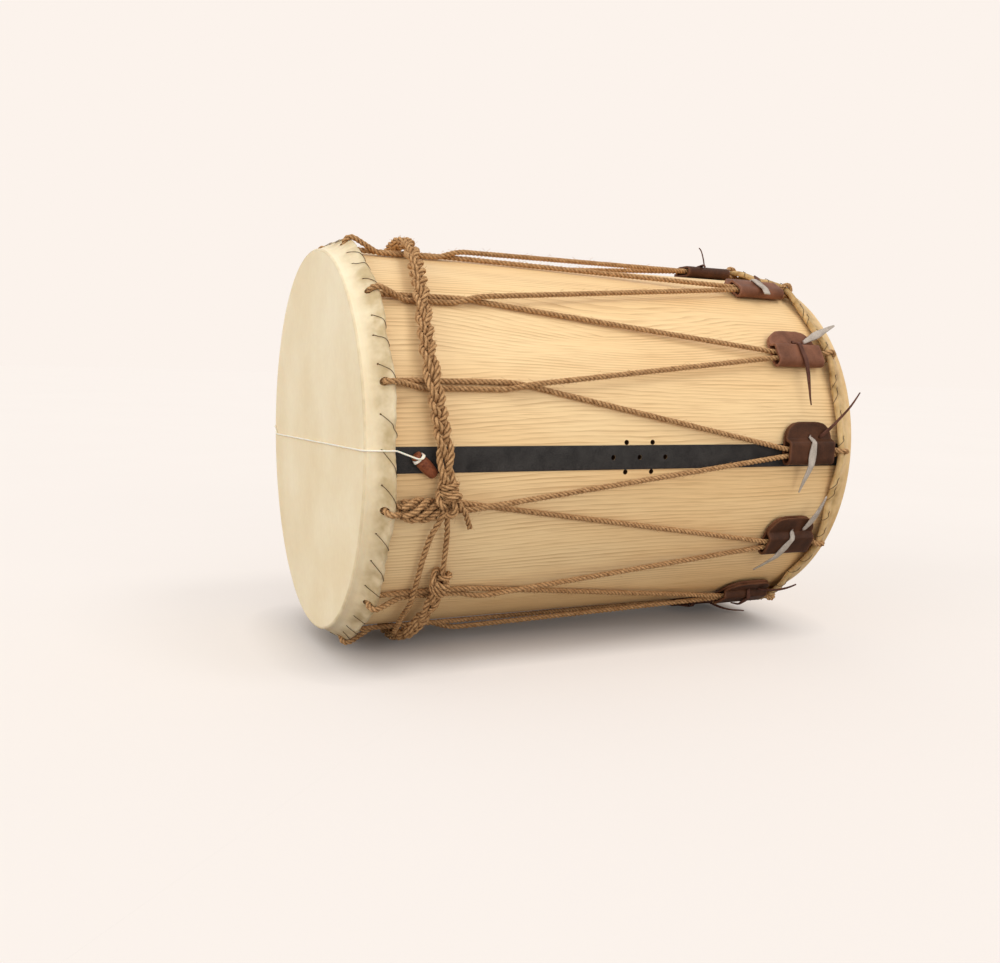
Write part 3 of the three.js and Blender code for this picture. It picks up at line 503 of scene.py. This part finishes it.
def headPiece(side, material):
    edge = drum["bearing"] + drum["end"]
    outside = skirt(hem["outer"], edge, hem["crease"])
    inside = skirt(hem["inner"], edge - drum["skin"], edge - drum["skin"])
    rows = [(0, r) for r in hem["face"]]
    lining = [(drum["skin"], r) for s, r in reversed(rows)]
    profile = [(alongFrom(side, s), r) for s, r in rows + outside + inside[::-1] + lining]
    bm = spun(profile, 360)
    waveMesh(side, bm)
    name = side + "_skin"
    holes = [(alongFrom(side, hem["depth"] - hem["sway"]), angle, hem["hole"]) for angle in ends[side]["holes"]]
    for angle, slant, depth in stitchPlan(side):
        holes.append((alongFrom(side, wavy(side, depth, 0, angle)[0]), angle, hem["prick"]))
    mesh = cutHoles(name, toMesh(name, bm), holes, drum["radius"] + 1, hem["radius"] + 8)
    marks = mesh.attributes.new("hem", "FLOAT", "POINT")
    for vert, value in zip(mesh.vertices, marks.data):
        depth, r, angle = fromAxis(side, vert.co)
        worn = min(1, max(0, (depth - hem["wornFrom"]) / hem["wornOver"])) if r > hem["wornRadius"] else 0
        # A thin ring where the face turns over the bearing edge takes the darker pair: painted shade
        folded = hem["foldFrom"] < depth < hem["foldTo"] and r > hem["foldRadius"]
        value.value = hem["fold"] if folded else worn
    newPiece(name, mesh, material, "drum", side + "_rawhide", side + "_head", sharp=50)
    ring = [(alongFrom(side, s), r) for s, r in arc(hem["depth"], hem["radius"], hem["cane"], 0, 330, 11)]
    bm = spun(ring, 180)
    waveMesh(side, bm)
    newPiece(side + "_cane", toMesh(side + "_cane", bm), cane, "drum", "cane", side + "_flesh_hoop")


headPiece("batter", batterHide)
headPiece("lower", lowerHide)
print("heads and hoops made")


# Cords
def spaced(points, step):
    points = np.array([tuple(p) for p in points])
    walked = np.concatenate([[0], np.cumsum(np.linalg.norm(np.diff(points, axis=0), axis=1))])
    marks = np.linspace(0, walked[-1], max(2, round(walked[-1] / step)))
    return np.stack([np.interp(marks, walked, points[:, i]) for i in range(3)], axis=1)


def eased(points, step, passes):
    line = spaced(points, step)
    for _ in range(passes):
        line[1:-1] = (line[:-2] + 2 * line[1:-1] + line[2:]) / 4
    return line


# A smooth line through given places
def through(points, step):
    points = [np.array(tuple(p)) for p in points]
    points = [2 * points[0] - points[1], *points, 2 * points[-1] - points[-2]]
    line = []
    for a, b, c, d in zip(points, points[1:], points[2:], points[3:]):
        for t in np.linspace(0, 1, 12, endpoint=False):
            bent = (c - a) * t + (2 * a - 5 * b + 4 * c - d) * t**2 + (3 * b - a - 3 * c + d) * t**3
            line.append(b + bent / 2)
    return spaced([*line, points[-2]], step)


# Directions across a line, carried along it without twisting
def carried(line):
    ways = np.gradient(line, axis=0)
    ways /= np.linalg.norm(ways, axis=1)[:, None]
    across = np.cross(ways[0], (0.3, 0.5, 0.8))
    first = []
    for way in ways:
        across = across - way * across.dot(way)
        across = across / np.linalg.norm(across)
        first.append(across)
    return ways, np.array(first), np.cross(ways, first)


# Three yarns wound round a line
def yarns(line, radius, lay):
    ways, first, second = carried(line)
    walked = np.concatenate([[0], np.cumsum(np.linalg.norm(np.diff(line, axis=0), axis=1))])
    for k in range(3):
        turn = (2 * math.pi * (walked / lay + k / 3))[:, None]
        yield line + radius * (np.cos(turn) * first + np.sin(turn) * second)


def tubes(name, lines, radius, sides=1):
    curve = bpy.data.curves.new(name, "CURVE")
    curve.dimensions = "3D"
    curve.bevel_depth = radius
    curve.bevel_resolution = sides
    curve.use_fill_caps = True
    for line in lines:
        spline = curve.splines.new("POLY")
        spline.points.add(len(line) - 1)
        spline.points.foreach_set("co", np.column_stack([line, np.ones(len(line))]).ravel())
    drawn = bpy.data.objects.new(name + "_line", curve)
    scene.collection.objects.link(drawn)
    mesh = evaluated(drawn)
    bpy.data.objects.remove(drawn)
    return mesh


# A rope is painted darker towards its core: painted shade in the grooves between the yarns
laid = {"yarnAt": 0.52, "yarn": 0.5, "step": 0.5, "deep": 2.4, "fall": 2.6}


def laidRope(name, lines, diameter, lay, *standsFor):
    radius = diameter / 2 * mm
    wound = [yarn for line in lines for yarn in yarns(line, laid["yarnAt"] * radius, lay * mm)]
    mesh = tubes(name, wound, laid["yarn"] * radius)
    core = np.concatenate([spaced(line, laid["step"] * mm) for line in lines])
    tree = kdtree.KDTree(len(core))
    for i, point in enumerate(core):
        tree.insert(point, i)
    tree.balance()
    groove_shade = mesh.attributes.new("groove_shade", "FLOAT", "POINT")
    for vert, value in zip(mesh.vertices, groove_shade.data):
        value.value = min(1, max(0, laid["deep"] - laid["fall"] * tree.find(vert.co)[2] / radius))
    return newPiece(name, mesh, hemp, "drum", "rope", *standsFor, sharp=80)


# Loose fibres that stand off a rope, away from the wood and short of the tugs
fuzz = {"apart": 3.2, "short": 2.2, "long": 5.2, "thick": 0.09, "reach": 330, "root": 0.9, "least": 0.2, "most": 0.6}


def fibres(lines, radius):
    hairs = []
    for line in lines:
        ways, first, second = carried(line)
        length = np.linalg.norm(np.diff(line, axis=0), axis=1).sum() / mm
        for _ in range(round(length / fuzz["apart"])):
            i = random.randrange(1, len(line) - 1)
            turn = random.uniform(0, 2 * math.pi)
            out = first[i] * math.cos(turn) + second[i] * math.sin(turn)
            flow = ways[i] * random.choice((-1, 1))
            size = random.uniform(fuzz["short"], fuzz["long"]) * mm
            spot = line[i] - np.array(axis)
            if spot[0] > (fuzz["reach"] - drum["length"] / 2) * mm or out[1] * spot[1] + out[2] * spot[2] < 0:
                continue
            start = line[i] + out * radius * fuzz["root"] * mm
            stand = random.uniform(fuzz["least"], fuzz["most"])
            middle = start + (flow * 0.5 + out * stand * 0.6) * size
            hairs.append([start, middle, middle + (flow * 0.4 + out * stand * 0.5) * size])
    return hairs


rope = {"diameter": 4.9, "lay": 12, "step": 2.0, "pairs": 12, "half": 2.9, "pair": 166.8, "twist": 24, "bends": 6,
        "under": 167.4, "clear": 0.3, "loop": 5.4, "sway": 1.6, "lift": 172.3, "tunnel": 171.2, "tunnelHalf": 3,
        "tugEnd": 31, "tugMouth": 81, "parts": (136, 109, 122, 118, 132, 134, 136, 130, 124, 124, 119, 92)}
whip = {"pair": 11, "start": 28.5, "finish": 55.5, "turns": 0.5, "radius": 5.0, "steps": 90, "strands": 5,
        "tuck": 0.3, "narrow": 0.62, "stray": 1.6, "step": 1.6, "clear": 2.5, "landing": 10, "gap": 2.9}
leave = {"batter": 27, "lower": 55}


def hemPoint(radius, turn):
    turn = math.radians(turn)
    return hem["depth"] + radius * math.sin(turn), hem["radius"] + radius * math.cos(turn)


def hemLoop(side, angle, sign):
    points = []
    for turn in [*range(-180, 1, 15), leave[side] / 3, leave[side] * 2 / 3, leave[side]]:
        depth, r = hemPoint(rope["loop"], turn)
        sway = sign * rope["sway"] * math.cos(math.radians(turn))
        points.append(place(alongFrom(side, depth), r, angle, sway))
    return points


def landing(side, radius):
    depth, r = hemPoint(rope["loop"], leave[side])
    return depth + (r - radius) / math.tan(math.radians(leave[side]))


# One strand of a pair, from the batter hem to where the two have wound a quarter turn and part
def pairStrand(pair, strand):
    angle, side = pairAngles[pair], strand * rope["half"]
    stops = [(landing("batter", rope["pair"]), rope["pair"])]
    if pair == whip["pair"]:
        stops = [(whip["start"] - whip["clear"], rope["lift"]), (whip["finish"] + whip["clear"], rope["lift"])]
        stops.append((whip["finish"] + whip["landing"], rope["pair"]))
    points = [place(s, r, angle, side) for s, r in stops]
    if strand > 0:
        s = hem["depth"] + hem["outer"] + rope["clear"]
        points.insert(0, place(s, rope["under"], angle, (side + rope["sway"]) / 2))
    for step in range(rope["bends"] + 1):
        turn = math.pi / 2 * step / rope["bends"]
        s = rope["parts"][pair] - rope["twist"] * (1 - step / rope["bends"])
        lift = 0 if strand > 0 else 2 * rope["half"] * math.sin(turn)
        points.append(place(s, rope["pair"] + lift, angle, side * math.cos(turn)))
    return points


def tensionRoute():
    length, points = drum["length"], []
    mouth, end = length - rope["tugMouth"], length - rope["tugEnd"]
    landed = length - landing("lower", rope["tunnel"])
    for k in range(rope["pairs"]):
        pair = (whip["pair"] + k) % rope["pairs"]
        tug, after = 30 * (pair + 1), (pair + 1) % rope["pairs"]
        points += pairStrand(pair, -1)
        points += [place(s, rope["tunnel"], tug, -rope["tunnelHalf"]) for s in (mouth, end)]
        points.append(place(length - hem["depth"] - hem["outer"], rope["under"], tug, -rope["tunnelHalf"]))
        points += hemLoop("lower", tug, 1)
        points += [place(s, rope["tunnel"], tug, rope["tunnelHalf"]) for s in (landed, end, mouth)]
        points += pairStrand(after, 1)[::-1]
        points += hemLoop("batter", pairAngles[after], -1)
    made = (whip["start"] + whip["finish"]) / 2
    angle = pairAngles[whip["pair"]]
    points[0] = place(made + whip["gap"], rope["lift"], angle, -rope["half"])
    for s in (whip["start"] - whip["clear"], made - whip["gap"]):
        points.append(place(s, rope["lift"], angle, -rope["half"]))
    return points


# One strand of the whipping, drawn in at both ends
def whipRoute(strand):
    angle, half = pairAngles[whip["pair"]], rope["half"]
    count = round(whip["turns"] * whip["steps"])
    points = []
    for i in range(count + 1):
        wide = min(i, count - i) / count / whip["tuck"]
        radius = whip["radius"] * min(1, whip["narrow"] + (1 - whip["narrow"]) * wide)
        bend = math.pi * radius
        around = 2 * bend + 4 * half
        turns = i / whip["steps"] + strand / whip["strands"]
        walked = (turns * around) % around
        sign = 1 if walked < around / 2 else -1
        rest = walked % (around / 2)
        turn = min(rest / radius, math.pi)
        side = sign * (half + radius * math.sin(turn) - max(0, rest - bend))
        stray = noise.noise(Vector((turns * 5, 0.5, 2 + strand)))
        s = whip["start"] + (whip["finish"] - whip["start"]) * i / count + whip["stray"] * stray
        points.append(place(s, rope["lift"] + sign * radius * math.cos(turn), angle, side))
    return points


tensionLine = eased(tensionRoute(), rope["step"] * mm, 2)
whipLines = [eased(whipRoute(strand), whip["step"] * mm, 1) for strand in range(whip["strands"])]
laidRope("laid_rope", [tensionLine], rope["diameter"], rope["lay"], "tension_rope")
laidRope("rope_binding", whipLines, rope["diameter"], rope["lay"], "rope_whipping")
print("tension rope and whipping made")

# Carry rope: three laid strands braided over and under along its way round the drum
carry = {"first": -7.8, "last": 320.2, "middle": 175.15, "wide": 4.5, "high": 2.5, "strand": 5.3, "lay": 17,
         "turn": 50, "stray": 0.35, "drift": 45, "narrowOver": 50, "narrowTo": 0.7, "steps": 700, "step": 1.8,
         "way": ((-10, 62), (2, 58.5), (14, 53.5), (30, 51), (55, 60), (84, 74), (120, 86), (180, 95), (240, 84),
                 (274, 70), (300, 66.5), (322, 70))}
knot = {"high": 4.8, "rope": 4.5, "tail": 4.7, "from": 14, "sweep": 332, "steps": 120, "wrapSteps": 32, "step": 1.5,
        "tailStep": 1.6}
carryWay = through([(angle, s, 0) for angle, s in carry["way"]], 0.5)


def braidLines():
    angles = np.linspace(carry["first"], carry["last"], carry["steps"])
    middles = np.interp(angles, carryWay[:, 0], carryWay[:, 1])
    rounds = np.radians(np.diff(angles)) * carry["middle"]
    walked = np.concatenate([[0], np.cumsum(np.hypot(rounds, np.diff(middles)))])
    lean = np.arctan2(np.gradient(middles), np.radians(np.gradient(angles)) * carry["middle"])
    stray = np.array([noise.noise(Vector((w / carry["drift"], 0.3, 4))) for w in walked])
    narrow = np.interp(angles, (carry["last"] - carry["narrowOver"], carry["last"]), (1, carry["narrowTo"]))
    lines = []
    for k in range(3):
        phase = 2 * math.pi * (walked / carry["turn"] + k / 3 + carry["stray"] * stray)
        aside = carry["wide"] * np.sin(phase) * narrow
        high = carry["high"] * np.sin(2 * phase)
        points = [place(s + a * math.cos(t), carry["middle"] + h, angle, -a * math.sin(t))
                  for s, a, t, h, angle in zip(middles, aside, lean, high, angles)]
        lines.append(spaced(points, carry["step"] * mm))
    return lines


# An overhand knot, open at one side
def knotLine(s, r, angle, size):
    points = []
    for i in range(knot["steps"] + 1):
        turn = math.radians(knot["from"] + knot["sweep"] * i / knot["steps"])
        across = size * (math.sin(turn) + 2 * math.sin(2 * turn))
        side = size * (math.cos(turn) - 2 * math.cos(2 * turn))
        points.append(place(s + across, r - knot["high"] * math.sin(3 * turn), angle, side))
    return spaced(points, knot["step"] * mm)


# Turns of rope drawn tight round the end of the plait
def wrapLine(s, r, angle, across, high, turns, pitch, lean):
    points = []
    for i in range(round(turns * knot["wrapSteps"]) + 1):
        turn = 2 * math.pi * i / knot["wrapSteps"]
        side = pitch * (i / knot["wrapSteps"] - turns / 2) + lean * math.cos(turn)
        points.append(place(s + across * math.cos(turn), r + high * math.sin(turn), angle, side))
    return spaced(points, knot["step"] * mm)


upperKnot = [knotLine(62, 178.9, -11, 3.3), wrapLine(62.2, 174.6, -8.6, 7.0, 6.0, 2.4, 5.0, 2.2)]
lowerKnot = [knotLine(70.5, 171.3, -35.5, 2.7), wrapLine(70, 173.6, -37.4, 6.2, 5.4, 2.4, 4.8, -1.6)]
tails = {
    "rear_tail": [(60, 178.4, -13), (57, 176.2, -16.4), (53.5, 172.8, -21), (52, 170.2, -27), (51.5, 170.2, -37),
                  (51.5, 172.5, -45), (52, 170.6, -54), (53.4, 172.2, -61), (55, 174.2, -66)],
    "front_tail": [(63, 178.4, -12.6), (63.6, 175.8, -15.6), (66.4, 172.6, -20), (68.8, 170.2, -26),
                   (70.5, 171.3, -33)],
    "free_end": [(70, 178.4, -11.4), (73.5, 177.2, -12.6), (78, 175.6, -14.4), (85.4, 170.6, -19.2)],
}
braid = braidLines()
laidRope("braided_carry_rope", braid, carry["strand"], carry["lay"], "carry_rope_plait")
laidRope("upper_knot", upperKnot, knot["rope"], carry["lay"], "carry_rope_upper_knot")
laidRope("lower_knot", lowerKnot, knot["rope"], carry["lay"], "carry_rope_lower_knot")
tailLines = {name: through([place(*stop) for stop in route], knot["tailStep"] * mm) for name, route in tails.items()}
for name, line in tailLines.items():
    laidRope(name, [line], knot["tail"], carry["lay"], "carry_rope_" + name)
random.seed(21)
hairs = fibres([tensionLine, *whipLines], rope["diameter"] / 2)
hairs += fibres([*braid, *upperKnot, *lowerKnot, *tailLines.values()], carry["strand"] / 2)
newPiece("rope_fibres", tubes("rope_fibres", hairs, fuzz["thick"] * mm, 0), hemp, "drum", "rope", sharp=180)
print("carry rope made")

# Stitches that sew each hem shut round its cane
stitch = {"thick": 0.26, "proud": 0.28, "sunk": -0.7, "step": 0.9,
          "over": ((-30, 0.42), (10, 0.6), (50, 0.8), (95, 0.95), (135, 1))}


def stitchLines(side):
    top, edge = drum["radius"] + drum["end"], drum["bearing"] + drum["end"]
    far = run - hem["outer"] * math.sin(math.radians(flare))
    climb = (hem["radius"] + hem["outer"] * math.cos(math.radians(flare)) - top) / far
    lines = []
    for angle, slant, start in stitchPlan(side):
        stops = [(start, stitch["sunk"], 0), (start + 0.5, stitch["proud"], 0.03), (start + 3, stitch["proud"], 0.16)]
        route = [(d, top + climb * (d - edge) + lift, angle + slant * share) for d, lift, share in stops]
        for turn, share in stitch["over"]:
            route.append((*hemPoint(hem["outer"] + stitch["proud"], turn), angle + slant * share))
        points = []
        for depth, r, at in route:
            depth, r = wavy(side, depth, r, at)
            points.append(place(alongFrom(side, depth), r, at))
        lines.append(through(points, stitch["step"] * mm))
    return lines


for side in ("batter", "lower"):
    name = side + "_stitches"
    mesh = tubes(name, stitchLines(side), stitch["thick"] * mm)
    newPiece(name, mesh, thread, "drum", side + "_rawhide", sharp=80)
print("stitches made")

# Snare: gut made off round the neck of a leather toggle that leans across the seam strip
toggle = {"start": 37, "angle": 0.5, "lean": 43, "foot": 165.3, "length": 23, "wide": 4.8, "tip": 3.7, "wideAt": 8,
          "neckAt": 4, "collar": 4.2}
snare = {"radius": 0.7, "near": 1.6, "far": 179, "loop": 4.0, "outer": 5.0, "turns": 2.7, "turnSteps": 18, "sway": 0.9,
         "lift": 1.1, "round": 0.9, "tie": 7.8, "step": 0.8}
slope = (toggle["wide"] - toggle["tip"]) / (toggle["length"] - toggle["wideAt"])
toggleRun = toggle["length"] * math.cos(math.atan(slope))
lean = math.radians(toggle["lean"])
toggleFar = toggle["angle"] - math.degrees(toggleRun * math.sin(lean) / drum["radius"])
toggleHigh = toggle["foot"] + toggle["wide"] + toggle["wideAt"] * slope
toggleFrom = place(toggle["start"], toggleHigh, toggle["angle"])
toggleTo = place(toggle["start"] + toggleRun * math.cos(lean), toggle["foot"] + toggle["tip"], toggleFar)
toggleWay = (toggleTo - toggleFrom).normalized()
toggleSide = (place(0, 1, toggle["angle"]) - place(0, 0, toggle["angle"])).cross(toggleWay).normalized()
toggleUp = toggleWay.cross(toggleSide)


def roundToggle(z, radius, turn):
    turn = math.radians(turn)
    aside = toggleUp * radius * math.cos(turn) + toggleSide * radius * math.sin(turn)
    return toggleFrom + (toggleWay * z + aside) * mm


def togglePiece():
    profile = [(0, 0), (0, 3.2), (0.3, 3.9), (0.9, 4.2), (2.2, 4.2), (2.8, 3.0), (5.2, 3.0), (6.2, 4.2), (7, 4.8),
               (8, 5.0), (12, 5.1), (17, 4.8), (21, 4.2), (22.4, 3.4), (22.9, 2.2), (23, 0)]
    bm = bmesh.new()
    corners = [bm.verts.new(roundToggle(z, r, 0)) for z, r in profile]
    edges = [bm.edges.new(pair) for pair in zip(corners, corners[1:])]
    spin(bm, corners, edges, toggleFrom, toggleWay, 360, 28)
    mesh = toMesh("leather_toggle", bm)
    newPiece("leather_toggle", mesh, toggleHide, "drum", "toggle_leather", "snare_toggle", sharp=60)


# The gut's own turns round the toggle, then over the hem, across the head and over the far hem
def snareLine():
    count, each = round(snare["turns"] * snare["turnSteps"]), 360 / snare["turnSteps"]
    points = []
    for i in range(count + 1):
        radius = snare["loop"] + (snare["outer"] - snare["loop"]) * i / count
        z = toggle["neckAt"] + snare["sway"] * math.cos(7 * i / count)
        points.append(roundToggle(z, radius, 20 + each * (count - i)))
    points.append(roundToggle(toggle["neckAt"] - 1.4, snare["outer"] + 0.3, -8))
    points.append(roundToggle(toggle["neckAt"] - 3.2, toggle["collar"] + 1.4, -20))
    edge = drum["bearing"] + drum["end"]
    over = [hemPoint(hem["outer"] + snare["lift"], turn) for turn in (55, 10, -35)]
    for turn in (25, 45, 65, 90):
        turn = math.radians(turn)
        out = edge + snare["lift"] + snare["round"] * math.sin(2 * turn)
        over.append((edge - out * math.sin(turn), drum["radius"] - drum["bearing"] + out * math.cos(turn)))
    points += [place(*wavy("batter", s, r, snare["near"]), snare["near"]) for s, r in over]
    points += [place(-snare["lift"], r, snare["near"]) for r in range(150, -151, -30)]
    points += [place(*wavy("batter", s, r, snare["far"]), snare["far"]) for s, r in reversed(over)]
    tied = np.interp(snare["far"], carryWay[:, 0], carryWay[:, 1]) - snare["tie"]
    points.append(place(tied, carry["middle"], snare["far"]))
    return eased(points, snare["step"] * mm, 3)


togglePiece()
mesh = tubes("gut_snare", [snareLine()], snare["radius"] * mm, 2)
newPiece("gut_snare", mesh, gut, "drum", "gut", "snare_gut", sharp=80)
print("snare made")

# Tugs: leather folded round two strands, each cut and creased a little differently
tug = {"middle": 406, "radius": 165.7, "half": 25, "round": 16, "thick": 2, "rim_highlight": 1.7,
       "slit": 14.4, "slitWide": 2.0, "slitLong": 1.2, "slits": (1.2, 12.8), "dark": (0, 3, 4, 6, 9, 10, 11),
       "tunnel": -5.9, "tunnelHigh": 5.2, "tunnelRadius": 4.2, "edge": 0.45, "flat": 6, "droop": 420, "ragged": 0.8,
       "creased": 0.5, "curled": 1.6, "flap": (12, 27)}
fold = [(27, 1), (12, 1), (tug["tunnel"], 1)]
for turn in range(20, 180, 20):
    away = tug["tunnelRadius"] * math.sin(math.radians(turn))
    fold.append((tug["tunnel"] - away, tug["tunnelHigh"] - tug["tunnelRadius"] * math.cos(math.radians(turn))))
fold += [(tug["tunnel"], 9.4), (7.8, 9.4), (8.9, 8.8), (11.1, 3.9), (12.2, 3.3), (27, 3.3)]


def tugSheet(k):
    name = f"leather_tug_{k + 1:02d}"
    xs, ys = [p[0] for p in fold], [p[1] for p in fold]
    walked = np.concatenate([[0], np.cumsum(np.hypot(np.diff(xs), np.diff(ys)))])
    bm = bmesh.new()
    bmesh.ops.create_grid(bm, x_segments=60, y_segments=36, size=0.5)
    rim_highlight = bm.verts.layers.float.new("rim_highlight")
    flat = {}
    for vert in bm.verts:
        u = (vert.co.x + 0.5) * walked[-1]
        short = tug["round"] - min(tug["round"], u, walked[-1] - u)
        half = tug["half"] - tug["round"] + math.sqrt(tug["round"] ** 2 - short ** 2)
        z = 2 * vert.co.y * half
        x, y = np.interp(u, walked, xs), np.interp(u, walked, ys)
        # 1 near the sheet's border, where the painted highlight shows
        vert[rim_highlight] = 1 - min(1, min(u, walked[-1] - u, half - abs(z)) / tug["rim_highlight"])
        flat[vert] = (x, z)
        upper = u > walked[-1] / 2
        crease = noise.noise(Vector((x / 14, z / 17, 7 * k + (3 if upper else 0))))
        outer = max(0, (x - tug["flap"][0]) / (tug["flap"][1] - tug["flap"][0]))
        y += (tug["creased"] + tug["curled"] * outer) * max(0, crease) if upper else 0
        y -= max(0, abs(x) - tug["flat"]) ** 2 / tug["droop"]
        z += tug["ragged"] * noise.noise(Vector((x / 11, 3 * vert.co.y, 7 * k + 1)))
        vert.co = place(tug["middle"] + z, tug["radius"] + y, 30 * k, x)
    slits = []
    for face in bm.faces:
        x = sum(flat[v][0] for v in face.verts) / 4 - tug["slit"]
        z = sum(flat[v][1] for v in face.verts) / 4
        if abs(x) < tug["slitWide"] and any(abs(z - at) < tug["slitLong"] for at in tug["slits"]):
            slits.append(face)
    bmesh.ops.delete(bm, geom=slits, context="FACES")
    bmesh.ops.recalc_face_normals(bm, faces=bm.faces)
    body, node = f"sliding_tug_{k + 1:02d}", f"tug_{k + 1:02d}"
    hide = tugHides[k in tug["dark"]]
    piece = newPiece(name, toMesh(name, bm), hide, body, "tug_leather", node, sharp=180)
    thicken(piece, tug["thick"])
    edge = piece.modifiers.new("edge", "BEVEL")
    edge.width = tug["edge"] * mm
    edge.segments = 2
    edge.limit_method = "ANGLE"


# Thongs: through two slits of a tug, with two loose ends. Each end has the way it points, its reach, its rise,
# its width, its tip's share of that, and 1 where the pale flesh side is out
hiddenThong = {"right": (50, 40, 8, 5.0, 0.12, 0), "left": (250, 46, 0, 5.2, 0.12, 1)}
thongs = {
    0: {"right": (47, 54, 9, 2.0, 0.35, 0), "left": (262, 51, 0, 7.2, 0.1, 1)},
    1: {"right": (22, 37, 8.5, 7.0, 0.2, 1), "left": (273, 61, 0, 4.4, 0.1, 0)},
    2: {"right": (80, 13, 2, 4.4, 0.3, 0), "left": (268, 32, 0, 7.4, 0.85, 1)},
    3: {"right": (140, 8, 27, 3.0, 0.15, 0), "left": (250, 34, 0, 5.2, 0.12, 0)},
    9: {"right": (45, 40, 8, 5.2, 0.12, 0), "left": (235, 40, 0, 5.2, 0.12, 0)},
    10: {"right": (50, 36, 7, 5.6, 0.12, 0), "left": (278, 40, 0, 5.2, 0.12, 0)},
    11: {"right": (81, 40, 4, 6.0, 0.12, 1), "left": (244, 52, 0, 7.0, 0.1, 1)},
}
thong = {"thick": 1.2, "neck": 3.2, "flat": 5.25, "roof": 11.35, "foot": 12.7, "brow": 10, "edge": -11.1,
         "fall": 0.38, "bend": 19.6, "start": 1.2, "rows": 26, "widenBy": 0.3, "taperFrom": 0.4}


def thongHeight(x):
    if x > thong["foot"]:
        return thong["flat"] - max(0, x - thong["bend"]) ** 2 / (2 * drum["radius"])
    if x > thong["brow"]:
        share = (x - thong["brow"]) / (thong["foot"] - thong["brow"])
        return thong["roof"] + (thong["flat"] - thong["roof"]) * share
    return thong["roof"] - max(0, thong["edge"] - x) * thong["fall"]


# Rows across one loose end, from its slit to its tip: middle, direction across, width, rise, side, looseness
def looseEnd(z, end, sign):
    turn, reach, rise, width, tip, pale = end
    way = Vector((math.sin(math.radians(turn)), math.cos(math.radians(turn))))
    across = Vector((way.y, -way.x)) * sign
    rows = []
    for i in range(thong["rows"]):
        first = thong["start"] / reach
        part = first + (1 - first) * i / (thong["rows"] - 1)
        wide = thong["neck"] + (width - thong["neck"]) * min(1, part / thong["widenBy"])
        wide *= 1 - (1 - tip) * max(0, part - thong["taperFrom"]) / (1 - thong["taperFrom"])
        middle = Vector((tug["slit"], z)) + way * part * reach
        rows.append((middle, across, wide, rise * part * (2 - part), pale, min(1, part * 3)))
    return rows


def thongPiece(k):
    name = f"thong_{k + 1:02d}"
    loose = thongs.get(k, hiddenThong)
    near, far = tug["slits"]
    falls = (4.6, 2.4, 0.3)
    drop = [*[(near, y) for y in falls], (near + 1, -0.9), (far - 1, -0.9), *[(far, y) for y in falls[::-1]]]
    under = [(Vector((tug["slit"], z)), Vector((1, 0)), thong["neck"], y, 0, 0) for z, y in drop]
    rows = looseEnd(near, loose["left"], -1)[::-1] + under + looseEnd(far, loose["right"], 1)
    bm = bmesh.new()
    bmesh.ops.create_grid(bm, x_segments=len(rows) - 1, y_segments=4, size=0.5)
    flesh = bm.verts.layers.float.new("pale")
    for vert in bm.verts:
        middle, across, wide, y, pale, free = rows[round((vert.co.x + 0.5) * (len(rows) - 1))]
        spot = middle + across * vert.co.y * wide
        curl = noise.noise(Vector((spot.x / 12, spot.y / 12, k + 0.5)))
        height = thongHeight(spot.x) + y + free * (0.5 + 0.7 * curl) if free else y
        vert[flesh] = pale
        vert.co = place(tug["middle"] + spot.y, tug["radius"] + height, 30 * k, spot.x)
    bmesh.ops.recalc_face_normals(bm, faces=bm.faces)
    body, node = f"sliding_tug_{k + 1:02d}", f"tug_lace_{k + 1:02d}"
    piece = newPiece(name, toMesh(name, bm), thongHide, body, "lace_leather", node, sharp=180)
    thicken(piece, thong["thick"])


for k in range(12):
    tugSheet(k)
    thongPiece(k)
print("tugs and thongs made")

# Pale floor and the same pale surroundings, with soft light from above, from the side of the head and from the front
studio = {"paper": "fcf3ec", "grey": ("b0aaa5", "b2aca7"), "glow": 0.5, "sky": 0.85, "near": 0.06}
suns = {"key": (0.55, (0.36, -0.4, 0.84), 20), "fill": (1.1, (-0.95, -0.2, 0.25), 50),
        "front": (0.6, (0.15, -0.97, 0.14), 30)}


def floorPiece():
    bm = bmesh.new()
    bmesh.ops.create_grid(bm, x_segments=1, y_segments=1, size=60)
    floor = bpy.data.objects.new("floor", toMesh("floor", bm))
    scene.collection.objects.link(floor)
    dark, light = studio["grey"]
    paper = mottled("paper", {"dark": dark, "light": light, "broad": 1, "fine": 5, "share": 0.3, "rough": 0.85,
                              "bump": 0.0, "specular": 0.0})
    tree = paper.node_tree
    surface = tree.nodes["Principled BSDF"]
    seen = sums(tree, "MULTIPLY", add(tree, "LightPath").outputs["Is Camera Ray"], studio["glow"])
    # Near the drum the camera-only glow dims by ambient occlusion: a painted contact shadow on the floor
    clear = add(tree, "AmbientOcclusion", {"Distance": studio["near"]}).outputs["AO"]
    tree.links.new(sums(tree, "MULTIPLY", seen, clear), surface.inputs["Emission Strength"])
    surface.inputs["Emission Color"].default_value = tint(studio["paper"])
    floor.data.materials.append(paper)


def sun(name, energy, towards, angle):
    light = bpy.data.objects.new(name, bpy.data.lights.new(name, "SUN"))
    light.data.energy = energy
    light.data.angle = math.radians(angle)
    light.rotation_mode = "QUATERNION"
    light.rotation_quaternion = (-Vector(towards)).to_track_quat("-Z", "Y")
    scene.collection.objects.link(light)


def surroundings():
    world = bpy.data.worlds.new("studio")
    world.use_nodes = True
    tree = world.node_tree
    lit = tree.nodes["Background"]
    lit.inputs[0].default_value = (1, 1, 1, 1)
    lit.inputs[1].default_value = studio["sky"]
    seen = add(tree, "Background", {0: tint(studio["paper"]), 1: 1.0})
    share = add(tree, "LightPath").outputs["Is Camera Ray"]
    both = add(tree, "MixShader", {0: share, 1: lit.outputs[0], 2: seen.outputs[0]})
    tree.links.new(both.outputs[0], tree.nodes["World Output"].inputs[0])
    scene.world = world


floorPiece()
surroundings()
for name, (energy, towards, angle) in suns.items():
    sun(name, energy, towards, angle)
print("stage made")
